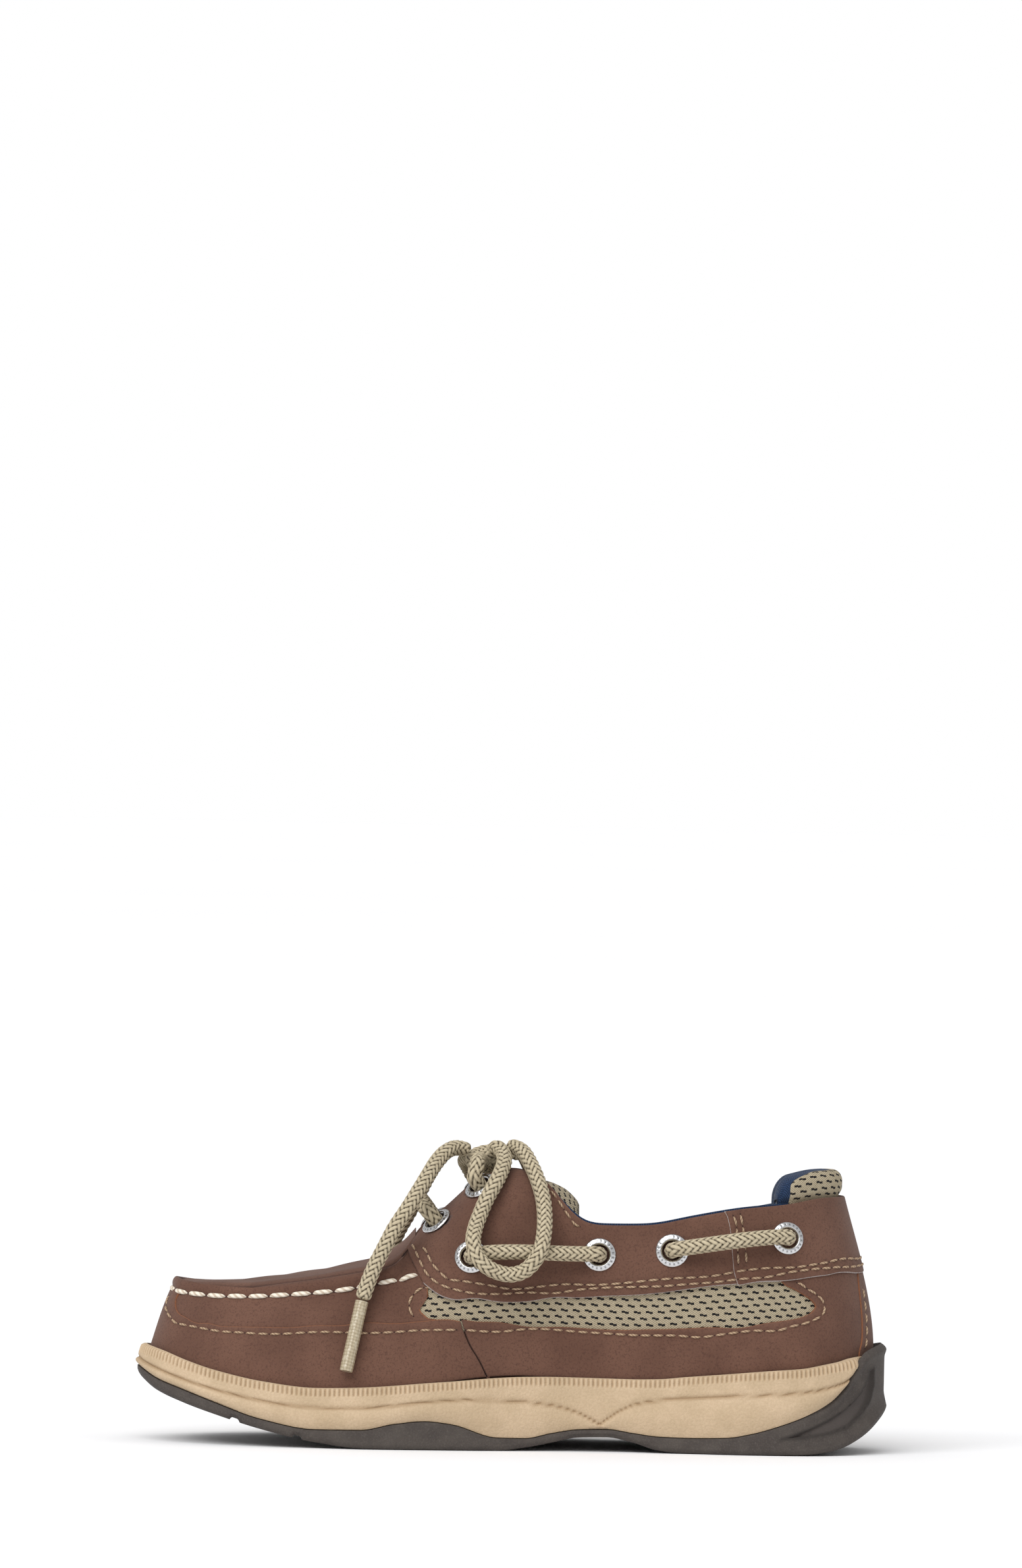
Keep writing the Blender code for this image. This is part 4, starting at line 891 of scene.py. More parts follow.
def near_side_height(pixels):
    """Lengths along and heights of pixels on the shoe's near side, at the sole's edge."""
    at = np.array(pixels, float)
    along = (at[:, 0] - TOE_PIXEL) * PIXEL
    half = FINE // 2
    near = np.interp(along, RINGS["x"][:half], RINGS["y"][:half])
    floor_line = FLOOR_PIXEL + TILT * (at[:, 0] - FLOOR_PIXEL_AT)
    high = (floor_line - at[:, 1]) * PIXEL - LOOK_DOWN * near
    return along - TILT * high, high


def midsole():
    """Rings from under the foam up its side to the rim, over it and down to the well's floor."""
    hidden = OUTSOLE_WALL + GAP
    wave = sole_height("wave", RINGS["x"]) + GAP
    band = sole_height("band", RINGS["x"])
    free = np.clip((band - wave) / RIM_LEAST, 0, 1)
    base = np.minimum(wave, band - RIM_LEAST)
    line_x, line_z = near_side_height(SIDE_LINE)
    line = np.interp(RINGS["x"], line_x, line_z)
    depth, share = np.array(MIDSOLE_FLANK).T
    shares = np.concatenate([np.linspace(0, 0.70, 15), np.linspace(0.74, 1, 12)])
    rings, low, ribbed = [], [], []
    run = run_along(np.stack([RINGS["x"], RINGS["y"]], 1))
    rib = 0.5 + 0.5 * np.cos(2 * np.pi * round(run[-1] / RIB_PITCH) * run / run[-1])
    for s in shares:
        high = base + s * (band - base)
        away = curve(share, depth, np.full(FINE, max(s, 0.02)))
        groove = np.exp(-((high - line) / LINE_WIDE) ** 2) * (line < band - LINE_UNDER_TOP)
        t = np.clip((high - base) / np.maximum(line - base, 1e-4), 0, 1)
        lobe = LOBE * (4 * t * (1 - t)) ** 0.8
        from_top = band - high
        in_band = np.clip(from_top / BAND_EDGE, 0, 1) * np.clip((RIB_BAND - from_top) / BAND_EDGE, 0, 1)
        round_off = TOP_ROUND * np.clip(1 - from_top / TOP_ROUND_HIGH, 0, 1) ** 2
        step_in = BAND_STEP * np.clip((RIB_BAND - from_top) / BAND_STEP_HIGH, 0, 1)
        ridge = in_band * RIB_DEEP * (rib ** 0.6 - 0.5)
        relief = lobe - LINE_DEEP * groove + ridge - round_off - step_in
        ring = edge_ring(hidden + (away - relief - hidden) * free, "band")
        ring[:, 2] = high
        rings.append(ring)
        # Where to paint shade: the pressed line and the gaps between ribs.
        low.append(np.clip(groove * 0.8 + in_band * (1 - rib) ** 2 * 0.7, 0, 1))
        ribbed.append(in_band)
    under = edge_ring(SOLE_INNER, "bottom", OUTSOLE_PLATE + GAP)
    sunk = edge_ring(hidden, "bottom", OUTSOLE_PLATE + GAP)
    step = edge_ring(hidden, "band")
    step[:, 2] = np.maximum(base, sunk[:, 2] + GAP / 2)
    inner = RINGS["inset"] - GAP
    lip = edge_ring(inner - RIM_FLARE * np.maximum(RINGS["flare"], 0), "band")
    well = edge_ring(inner, "band", -CUP_DEPTH)
    floor = edge_ring(FLOOR_INNER, "band", -CUP_DEPTH)
    plain = [np.zeros(FINE)] * 3
    marks = {"low": np.array(plain + low + plain), "ribbed": np.array(plain + ribbed + plain)}
    return ring_piece("midsole_foam", [under, sunk, step] + rings + [lip, well, floor], foam_finish(),
                      marks, ["midsole"], sharp=0.9)


midsole()


# Insole: a footbed of foam faced with navy textile. It lies on the midsole inside the upper.

INSOLE_THICKNESS = 0.003


def navy_finish():
    """Navy knitted textile: tiny offset loops, slightly paler on their crowns."""
    finish, start, places = new_finish("navy_textile")
    across, up = pattern_of(start)
    loops = ((across * 9000).maths("SINE") * (up * 7800 + across * 1500).maths("SINE")) * 0.5 + 0.5
    fleck = start.noise(places, 0.0004, 2)
    colour = (loops * fleck).between(0.1, 0.6).blend((0.008, 0.018, 0.045), (0.028, 0.062, 0.14))
    shade(finish, Base_Color=colour, Roughness=0.92, Specular_IOR_Level=0.2, Sheen_Weight=0.15,
          Normal=start.bump(loops, 0.00018, 0.8))
    return finish


navy = navy_finish()


def insole():
    """Rings under the footbed, up its rounded edge and in to its middle, which dips a little."""
    edge = RINGS["inset"][::4] + WALL + 4 * GAP
    low, high = GAP - CUP_DEPTH, GAP - CUP_DEPTH + INSOLE_THICKNESS
    section = ((1.3 * FLOOR_INNER, low), (edge, low), (edge, low + 0.0016), (edge + 0.0004, high - 0.0006),
               (edge + 0.0013, high - 0.0001), (edge + 0.0035, high), (1.3 * FLOOR_INNER, high - 0.0003))
    rings = [edge_ring(inset, "band", lift, 4) for inset, lift in section]
    ring_piece("insole_footbed", rings, navy, stands_for=["insole"])


insole()


# Upper, inner layer: thin backing leather with a navy textile lining, one shell round the foot.
# The cut panels are stitched onto it. It is open at the collar and throat.

PLUG_COLUMNS = ("along", "swell")
PLUG = ((0.048, 0.0), (0.130, 0.006), (0.250, 0.010), (0.310, 0.022), (0.345, 0.044), (0.375, 0.020))
BACKING = -0.0013
LINING = -0.0019
LINING_INNER = -0.0026
SHELL_AROUND = 400
UNDER_PLUG = 0.14
WALL_HIGH = 0.05

NUBUCK_DARK, NUBUCK_LIGHT = (0.110, 0.051, 0.033), (0.139, 0.067, 0.044)
RUST_EDGE, PALE_EDGE = (0.215, 0.080, 0.034), (0.42, 0.37, 0.35)


def wall_place(u, v):
    """Place on the outside of the upper's wall.

    u runs once round the shoe from the toe tip along the inner side (0.5 is the middle of the heel);
    v runs from the feather edge to the top ring, on a cubic with a handle at each end.
    """
    u, v = np.broadcast_arrays(np.asarray(u, float), np.asarray(v, float))
    r = {name: np.interp(u, STATION, values, period=1) for name, values in RINGS.items()}
    nothing = 0 * u
    out = np.stack([r["out_x"], r["out_y"], nothing], -1)
    up = np.array([0, 0, 1.0])
    tip = np.maximum(-r["flare"], 0) / np.hypot(r["rise"], r["flare"])
    foot = np.stack([r["x"], r["y"], sole_height("band", r["x"]) + GAP - CUP_DEPTH + 1.2 * WALL * tip], -1)
    foot = foot - r["inset"][..., None] * out
    top = np.stack([r["top_x"], r["top_y"], r["top_z"]], -1)
    low = foot + r["rise"][..., None] * up + r["flare"][..., None] * out
    high = top - r["fall"][..., None] * up + r["lean"][..., None] * out
    t = v[..., None]
    place = (1 - t) ** 3 * foot + 3 * t * (1 - t) ** 2 * low + 3 * t ** 2 * (1 - t) * high + t ** 3 * top
    return place - [LENGTH / 2, 0, 0]


def skin(u, v, high):
    """A point standing high over the wall, along the wall's outward normal."""
    u, v, high = np.broadcast_arrays(*(np.asarray(k, float) for k in (u, v, high)))
    along = wall_place(u + 0.0015, v) - wall_place(u - 0.0015, v)
    upward = wall_place(u, np.minimum(v + 0.01, 1)) - wall_place(u, np.maximum(v - 0.01, 0))
    return wall_place(u, v) + unit(np.cross(along, upward)) * high[..., None]


def nubuck(name, raw=RUST_EDGE):
    """Brown nubuck: a short nap with fine dark specks and soft clouds; cut edges show the raw side, and the
    'shade' mark paints shade over it.
    """
    finish, start, places = new_finish(name)
    speck = start.noise(places, 0.00065, 4, 0.78)
    nap = start.noise(places, 0.00017, 2, 0.6)
    cloud = start.noise(places, 0.018, 3)
    colour = cloud.between(0.32, 0.68).blend(NUBUCK_DARK, NUBUCK_LIGHT)
    colour = (speck.between(0.47, 0.66) * 0.62).blend(colour, (0.062, 0.026, 0.018))
    colour = (nap.between(0.6, 0.8) * 0.3).blend(colour, (0.24, 0.125, 0.085))
    fuzz = start.noise(places, 0.0007, 3, 0.7)
    cut = mark(start, "cut").between(0.5, 0.9) * fuzz.between(0.2, 0.55)
    colour = cut.blend(colour, raw)
    # Painted shade from the 'shade' mark.
    colour = (mark(start, "shade") * 0.75).blend(colour, (0.035, 0.014, 0.010))
    shade(finish, Base_Color=colour, Roughness=0.82, Specular_IOR_Level=0.22, Sheen_Weight=0.08,
          Sheen_Roughness=0.6, Normal=start.bump(speck + nap * 0.5, 0.00012, 0.7))
    return finish


def top_along(u):
    """How far along the shoe its top ring lies at each u, as a share of LENGTH."""
    return np.interp(u, STATION, RINGS["top_x"], period=1) / LENGTH


def upper_shell(name, outer, inner, rise, finish, stands_for=()):
    """A wall of even thickness round the whole foot, rounded over at the top and closed at the foot.

    Under the plug it stops lower, where the lip and the plug meet over it.
    """
    u = np.arange(SHELL_AROUND) / SHELL_AROUND
    reach = 1 - UNDER_PLUG * np.clip((0.30 - top_along(u)) / 0.04, 0, 1)
    v = np.linspace(0, 1, 14)
    round_over = np.radians(np.linspace(15, 165, 5))
    middle, half = (outer + inner) / 2, (outer - inner) / 2
    rows = [skin(u, k * reach, outer) for k in v]
    for angle in round_over:
        row = skin(u, reach, middle + half * np.cos(angle))
        row[:, 2] += rise + half * np.sin(angle)
        rows.append(row)
    rows += [skin(u, k * reach, inner) for k in v[::-1]]
    points = np.concatenate(rows)
    faces = [grid_faces(len(rows), len(u), closed_rows=True, closed_columns=True)]
    levels = np.concatenate([v, np.ones(len(round_over)), v[::-1]])
    uv = np.stack([np.tile(u * AROUND, len(rows)), np.repeat(levels * WALL_HIGH, len(u))], 1)
    none = np.zeros(len(points))
    # The backing is painted with 'shade' 0.4 all over, for the shade it lies in under the panels; the navy
    # lining does not read it.
    return make_piece(name, points, faces, finish, {"cut": none, "shade": none + 0.4}, uv,
                      stands_for=stands_for)


brown = nubuck("brown_nubuck")
upper_shell("upper_backing", BACKING, LINING + 0.0001, -0.0002, brown, ["upper"])
upper_shell("upper_lining", LINING, LINING_INNER, 0.0004, navy)


# Plug: the top piece of the moccasin toe, one soft sheet of nubuck. Its edge is drawn down inside
# the lip all round, and it bulges a little towards the throat.

PLUG_THICK = 0.0018
PLUG_TUCK, PLUG_TUCK_WIDE = 0.0014, 0.0035
PLUG_SOFT = 0.0003
PLUG_SHADE_WIDE = 0.0012


def closed_sheets(top, bottom):
    """Points and faces of a closed solid between two sheets of equal grid, joined round their border."""
    rows, columns = top.shape[:2]
    count = rows * columns
    faces = grid_faces(rows, columns)
    corner = np.arange(count).reshape(rows, columns)
    border = np.concatenate([corner[0, :-1], corner[:-1, -1], corner[-1, :0:-1], corner[:0:-1, 0]])
    after = np.roll(border, -1)
    skirt = np.stack([border, border + count, after + count, after], 1)
    points = np.concatenate([top.reshape(-1, 3), bottom.reshape(-1, 3)])
    return points, [faces, (faces + count)[:, ::-1], skirt]


def plug():
    """Rungs from the inner side's top ring to the outer side's, crowned, with tucked edges.

    A slow wave of sines across it keeps the leather from lying dead even.
    """
    rows = table(PLUG, PLUG_COLUMNS)
    half = FINE // 2
    narrow = (RINGS["top_y"][:half] < -0.2 * BALL_WIDTH) | (RINGS["top_x"][:half] < 0.2 * LENGTH)
    last = STATION[np.argmin(narrow)]
    u = np.linspace(0.0006, last, 150)[:, None]
    s = (1 - np.cos(np.linspace(0, np.pi, 65)))[None, :] / 2
    near, far = wall_place(u, 1), wall_place(1 - u, 1)
    swell = curve(rows["along"], rows["swell"], (near[..., 0] + LENGTH / 2) / LENGTH) * INSTEP_HEIGHT
    sheet = near + s[..., None] * (far - near)
    wide = np.linalg.norm(far - near, axis=-1)
    from_edge = np.minimum(s, 1 - s) * wide
    front = sheet[..., 0] - sheet[0, 0, 0]
    from_edge = np.minimum(from_edge, np.maximum(front, 0))
    tuck = PLUG_TUCK * np.clip(1 - from_edge / PLUG_TUCK_WIDE, 0, 1) ** 2
    soft = PLUG_SOFT * np.sin(sheet[..., 0] * 260 + 2.0) * np.sin(sheet[..., 1] * 190 + 1.0)
    sheet[..., 2] += swell * (1 - (2 * s - 1) ** 2) - tuck + soft * np.clip(from_edge / 0.006, 0, 1)
    points, faces = closed_sheets(sheet, sheet - [0, 0, PLUG_THICK])
    shade_near = np.tile(np.clip(1 - from_edge / PLUG_SHADE_WIDE, 0, 1).ravel(), 2)
    make_piece("upper_plug", points, faces, brown,
               {"cut": 0 * shade_near, "shade": shade_near}, points[:, :2], sharp=1.0)


plug()


# Vamp and lip: the side band of the moccasin toe. It rises from under the mudguard and rolls over
# into the lip, puckered between the hand stitches, and dives into the crease beside the plug.

VAMP_HIGH = -0.00055
VAMP_COLUMNS = 620
VAMP_FOOT = 0.16
WALL_ROWS = 26
MOC_PITCH = 0.0065

# The window's rounded front end, in the photograph's pixels
WINDOW_FRONT = ((701, 2008), (680, 2008), (665, 2006), (652, 2001), (642, 1993), (637, 1984), (641, 1974),
                (650, 1967), (662, 1963))

# The lip runs out between these shares of LENGTH, and stands lower than the plug along the sides
LIP_END = (0.338, 0.356)
LIP_DROP = 0.0014

# Its section up the wall in millimetres: outwards, and down from the top edge
LIP = ((0.0, 6.5), (0.0, 5.6), (0.05, 5.0), (-0.10, 4.5), (-0.22, 4.2), (-0.10, 3.9), (0.22, 3.5),
       (0.55, 2.9), (0.85, 2.3), (1.02, 1.7), (1.12, 1.2), (1.13, 0.7))
STITCHED = 0.0042
GATHER, GATHER_WIDE = 0.00020, 0.0016
SQUEEZE_FROM, SQUEEZE_OVER = 0.0090, 0.0048
DROP_FROM, DROP_OVER, DROP_WIDE = 0.012, 0.02, 0.003

# And over the top into the crease: outwards and up from the top edge
LIP_OVER = ((1.05, -0.30), (0.85, -0.08), (0.50, 0.06), (0.12, 0.02), (-0.22, -0.20), (-0.45, -0.6),
            (-0.7, -1.2), (-1.1, -2.2), (-2.2, -2.9))

# It stands higher at the tip and lower at the toe's corners, and sinks where it runs out
LIP_SWAY = ((0.0005, 0.0), (-0.0006, 0.026))
LIP_SINK = 0.0006

# How far the stitches lie below the top edge at the toe's tip, then what is added, from where on and
# over which distance
STITCH_DOWN = 0.0030
STITCH_LOWER = ((0.0014, 0.0, 0.022), (0.0015, 0.028, 0.030))


def seen(pixels):
    """(u, v) of the wall's near side under pixels of the photograph: nearest grid point, then slopes."""
    u, v = np.meshgrid(np.linspace(0, 0.5, 500), np.linspace(0, 1, 101), indexing="ij")
    grid = pixel_of(wall_place(u, v))
    found = []
    for pixel in np.array(pixels, float):
        k = np.unravel_index(np.argmin(((grid - pixel) ** 2).sum(-1)), u.shape)
        spot = np.array([u[k], v[k]])
        for correction in range(2):
            here = pixel_of(wall_place(*spot))
            turn_u = (pixel_of(wall_place(spot[0] + 1e-4, spot[1])) - here) / 1e-4
            turn_v = (pixel_of(wall_place(spot[0], spot[1] + 1e-4)) - here) / 1e-4
            step = np.linalg.lstsq(np.stack([turn_u, turn_v], 1), pixel - here, rcond=1e-2)[0]
            spot = np.clip(spot + np.clip(step, -0.004, 0.004) * [1, 3], [0, 0], [0.5, 1])
        found.append(spot)
    return np.array(found)


def down_wall(u, down):
    """The v at which the wall lies a distance down from its top edge, measured along the wall."""
    v = np.linspace(1, 0.1, 60)
    lines = wall_place(np.asarray(u)[:, None], v[None, :])
    run = np.cumsum(np.linalg.norm(np.diff(lines, axis=1), axis=2), axis=1)
    run = np.concatenate([np.zeros((len(run), 1)), run], 1)
    return np.array([np.interp(d, r, v) for d, r in zip(np.broadcast_to(down, len(run)), run)])


def lip_share(u):
    """1 where the lip stands, falling to 0 where it runs in under the saddle."""
    return np.clip((LIP_END[1] - top_along(u)) / (LIP_END[1] - LIP_END[0]), 0, 1)


def stitch_down(u):
    """How far the hand stitches lie below the lip's top: less round the toe's tip."""
    run = np.abs(lip_run(u))
    return STITCH_DOWN + sum(more * np.clip((run - start) / over, 0, 1) for more, start, over in STITCH_LOWER)


def lip_run(u):
    """Distance along the lip from the toe tip at each u."""
    return np.sign(u) * np.interp(np.abs(u), *moc_run)


fine_u = np.linspace(0, 0.4, 1600)
moc_run = (fine_u, run_along(wall_place(fine_u, 0.95)))


def vamp():
    """Columns round the toe; each climbs the wall, then follows the lip's section over its top."""
    end = window_front[:, 0].min()
    u = np.linspace(-end, end, VAMP_COLUMNS)
    window_u, window_v = window_front[::-1][np.argsort(window_front[::-1, 1])].T
    lip = lip_share(u)
    outward, down = np.array(LIP).T / 1000
    pucker = 0.5 + 0.5 * np.cos(2 * np.pi * lip_run(u) / MOC_PITCH)
    columns = []
    first = down_wall(u, down[0])
    for share in np.linspace(0, 0.98, WALL_ROWS):
        v = VAMP_FOOT + share * (first - VAMP_FOOT)
        reach = np.interp(v[-1], window_v, window_u) / end
        stretch = 1 + (reach - 1) * np.clip((np.abs(u) / end - 0.75) / 0.25, 0, 1) ** 2
        columns.append(skin(u * stretch, v, VAMP_HIGH))
    shift = stitch_down(u) / STITCHED
    run = np.abs(lip_run(u))
    drop = LIP_DROP * np.clip((run - DROP_FROM) / DROP_OVER, 0, 1) * lip
    for high, d in zip(outward, down):
        gather = GATHER * (pucker - 0.5) * np.exp(-((d - STITCHED) / GATHER_WIDE) ** 2)
        squeeze = 1 + (shift - 1) * np.clip((SQUEEZE_FROM - d) / SQUEEZE_OVER, 0, 1)
        lower = drop * np.clip((STITCHED - d) / DROP_WIDE, 0, 1)
        columns.append(skin(u, down_wall(u, d * squeeze + lower), VAMP_HIGH + high * lip + gather))
    edge = skin(u, down_wall(u, drop), 0)
    level = unit((skin(u, 0.97, 0.001) - skin(u, 0.97, 0)) * [1, 1, 0])
    rise = sum(high * np.exp(-((run - at) / 0.010) ** 2) for high, at in LIP_SWAY)
    for away, high in LIP_OVER:
        place = edge + level * (VAMP_HIGH + away / 1000)
        place[:, 2] += high / 1000 * lip - LIP_SINK * (1 - lip) + rise * (away > -1)
        columns.append(place)
    columns += [skin(u, 0.9, BACKING), skin(u, VAMP_FOOT, BACKING)]
    grid = np.stack(columns, 0)
    rows, count = grid.shape[:2]
    section = np.arange(rows)[None, :] * count
    faces = [grid_faces(rows, count, closed_rows=True), section, section[:, ::-1] + count - 1]
    # Painted shade on the rows that dive into the crease beside the plug, and a fainter band of it along the
    # hand stitches.
    crease = np.zeros((rows, count))
    crease[-6:] = 1
    crease[-7] = 0.6
    line = WALL_ROWS + 4
    crease[line - 1:line + 2] = 0.3 * lip
    cut = np.zeros((rows, count))
    cut[:WALL_ROWS] = np.clip(1 - (1 - np.abs(u) / end) * end * AROUND / 0.0008, 0, 1)[None, :]
    uv = np.stack([np.tile(u * AROUND, rows), np.repeat(np.arange(rows) * 0.001, count)], 1)
    make_piece("upper_vamp", grid.reshape(-1, 3), faces, brown,
               {"cut": cut, "shade": crease}, uv, sharp=1.2)


window_front = seen(WINDOW_FRONT)
vamp()


# Moccasin stitches: thick waxed off-white thread, sewn by hand through lip and plug in one row
# round the toe. Each stitch lies proud and dives into its hole at both ends.

MOC_LONG, MOC_THICK = 0.0059, 0.00145
MOC_HOLE, HOLE_AT = 0.0006, 0.42
HOLE_SUNK, HOLE_PROUD = 0.0002, 0.00004
MOC_ROUTE = 700

# The row's last part on the near side, in the photograph's pixels
MOC_TAIL = ((535, 1954), (565, 1949), (597, 1944), (620, 1940.5), (641, 1938))


def thread_finish(name, colour, dark, twist):
    """Twisted thread: two plies that show as slanting pale and dark bands."""
    finish, start, places = new_finish(name)
    along, around = pattern_of(start)
    ply = ((along / twist + around * 2) * (2 * np.pi)).maths("SINE") * 0.5 + 0.5
    fibre = start.noise(places, 0.00025, 2)
    tone = (ply * 0.75 + fibre * 0.35).between(0.15, 0.75).blend(dark, colour)
    shade(finish, Base_Color=tone, Roughness=0.65, Specular_IOR_Level=0.35,
          Normal=start.bump(ply, 0.00012, 0.6))
    return finish


def joined(blocks):
    """Blocks of faces as one array of quads and one of triangles."""
    return [np.concatenate([b for b in blocks if b.shape[1] == corners]) for corners in (4, 3)]


def stitch_rows(name, routes, pitch, long, thick, finish, holes=None, sides=6, parts=6):
    """Stitches along routes of (u, v) with their standing heights, each a rounded rod on the skin.

    Along a stitch the middle line rises from below the leather to about a quarter of its thickness
    over it and sinks again. A hole, if asked for, is a low disc painted dark as shade between two stitches.
    """
    points, uv, faces, hole_points, hole_faces = [], [], [], [], []
    t = np.linspace(0, 1, parts)
    lift = thick * (0.38 * np.sqrt(np.maximum(0, 1 - (2 * t - 1) ** 4)) - 0.1)
    wide = thick / 2 * np.sqrt(np.maximum(0.10, 1 - np.abs(2 * t - 1) ** 3.5))
    for u, v, high in routes:
        line = wall_place(u, v)
        run = run_along(line)
        count = int(run[-1] / pitch)
        starts = (run[-1] - count * pitch) / 2 + np.arange(count) * pitch + (pitch - long) / 2
        at = starts[:, None] + t * long
        uu, vv, hh = (np.interp(at, run, k) for k in (u, v, high))
        middle, over = skin(uu, vv, hh + lift), skin(uu, vv, hh + lift + 0.001)
        up = (over - middle) * 1000
        across = np.cross(unit(np.gradient(middle, axis=1)), up)
        angle = np.arange(sides) / sides * 2 * np.pi
        ring = (middle[:, :, None] + wide[None, :, None, None]
                * (np.cos(angle)[None, None, :, None] * across[:, :, None]
                   + np.sin(angle)[None, None, :, None] * up[:, :, None]))
        base = sum(len(p) for p in points)
        points.append(ring.reshape(-1, 3))
        tile = np.stack(np.broadcast_arrays((t * long)[:, None], (np.arange(sides) / sides)[None, :]), -1)
        uv.append(np.tile(tile.reshape(-1, 2), (count, 1)))
        block = parts * sides
        first = base + np.arange(count)[:, None, None] * block
        faces.append((grid_faces(parts, sides, closed_columns=True)[None] + first).reshape(-1, 4))
        fan = np.array([(0, k + 1, k) for k in range(1, sides - 1)])
        ends = np.concatenate([fan, (parts - 1) * sides + fan[:, ::-1]])
        faces.append((ends[None] + first).reshape(-1, 3))
        if holes:
            past = (pitch - long) * HOLE_AT
            spots = np.concatenate([starts - past, [starts[-1] + long + past]])
            uu, vv, hh = (np.interp(spots, run, k) for k in (u, v, high))
            low, top = skin(uu, vv, hh - HOLE_SUNK), skin(uu, vv, hh + HOLE_PROUD)
            up = unit(top - low)
            side = unit(np.cross(up, [0.3, 0.1, 1.0]))
            turned = angle[None, :, None]
            disc = side[:, None] * np.cos(turned) + np.cross(up, side)[:, None] * np.sin(turned)
            base = sum(len(p) for p in hole_points)
            body = np.concatenate([low[:, None] + disc * holes, top[:, None] + disc * holes * 0.8], 1)
            hole_points.append(body.reshape(-1, 3))
            first = base + np.arange(len(spots))[:, None, None] * 2 * sides
            hole_faces.append((grid_faces(2, sides, closed_columns=True)[None] + first).reshape(-1, 4))
            hole_faces.append((np.concatenate([fan, sides + fan[:, ::-1]])[None] + first).reshape(-1, 3))
    make_piece(name, np.concatenate(points), joined(faces), finish, uv=np.concatenate(uv))
    if holes:
        spots = np.concatenate(hole_points)
        # The hole discs are painted dark with 'shade' 1.2, for the shade in the needle holes.
        make_piece(name + "_hole_shades", spots, joined(hole_faces), brown,
                   {"cut": np.zeros(len(spots)), "shade": np.ones(len(spots)) * 1.2})


moc_tail = seen(MOC_TAIL)
moc_u = np.linspace(-moc_tail[-1, 0], moc_tail[-1, 0], MOC_ROUTE)
moc_share = np.clip((np.abs(moc_u) - moc_tail[0, 0]) / (moc_tail[1, 0] - moc_tail[0, 0]), 0, 1)
moc_v = ((1 - moc_share) * down_wall(moc_u, stitch_down(moc_u))
         + moc_share * np.interp(np.abs(moc_u), moc_tail[:, 0], moc_tail[:, 1]))
moc_thread = thread_finish("waxed_thread", (0.80, 0.73, 0.62), (0.52, 0.43, 0.33), 0.0021)
stitch_rows("stitches_moccasin", [(moc_u, moc_v, np.full(MOC_ROUTE, VAMP_HIGH - 0.0001))],
            MOC_PITCH, MOC_LONG, MOC_THICK, moc_thread, holes=MOC_HOLE, sides=10, parts=12)


# Cut panels: mudguard, quarters, mesh windows, saddle with its collar band, heel collar piece and
# heel strip. Each is a flat-cut piece of nubuck or mesh with a raw edge, sewn on over the last.

PANEL_STEP = 0.0012
OUTLINE_STEP, STRAIGHT_STEP = 0.0005, 0.0006
EDGE_RINGS = (0.00015, 0.00045)
EDGE_ROUND = 0.00025
LATTICE_CLEAR = 0.0009
SEAM_WIDE = 0.0007
HOLE_RADIUS, HOLE_CLEAR = 0.0034, 0.0007
HOLE_SIDES = 40
SEAM_DIP = 0.00012


def arc_lines(u):
    """Lengths up the wall at each u, at the evenly spaced levels of ARC."""
    at = (np.asarray(u) % 1) * len(ARC)
    k = np.floor(at).astype(int)
    share = (at - k)[:, None]
    return ARC[k % len(ARC)] * (1 - share) + ARC[(k + 1) % len(ARC)] * share


def flat_of(spots):
    """Flat places in metres of (u, v): the run round the shoe and the length up the wall."""
    at = np.clip(spots[:, 1], 0, 1) * (ARC.shape[1] - 1)
    k = np.minimum(np.floor(at).astype(int), ARC.shape[1] - 2)
    lines = arc_lines(spots[:, 0])
    row = np.arange(len(spots))
    high = lines[row, k] + (at - k) * (lines[row, k + 1] - lines[row, k])
    return np.stack([spots[:, 0] * AROUND, high], 1)


def on_wall(flat):
    """(u, v) of flat places."""
    u = flat[:, 0] / AROUND
    lines = arc_lines(u)
    k = np.clip((lines <= flat[:, 1, None]).sum(1) - 1, 0, ARC.shape[1] - 2)
    row = np.arange(len(flat))
    v = k + (flat[:, 1] - lines[row, k]) / (lines[row, k + 1] - lines[row, k])
    return u, np.clip(v / (ARC.shape[1] - 1), 0, 1)


wall_lines = wall_place((np.arange(720) / 720)[:, None], np.linspace(0, 1, 61)[None, :])
ARC = np.cumsum(np.linalg.norm(np.diff(wall_lines, axis=1), axis=2), axis=1)
ARC = np.concatenate([np.zeros((720, 1)), ARC], 1)


def flip_side(spots, middle=0.5):
    """The same (u, v) on the other side of the shoe, mirrored at the heel (0.5) or the toe (0)."""
    return np.asarray(spots, float) * [-1, 1] + [2 * middle, 0]


def level_line(first, last, v, count):
    """Evenly spaced (u, v) at one v."""
    return np.stack([np.linspace(first, last, count), np.full(count, v)], 1)


# Near side as read, far side mirrored
SIDES = {"medial": np.array, "lateral": flip_side}


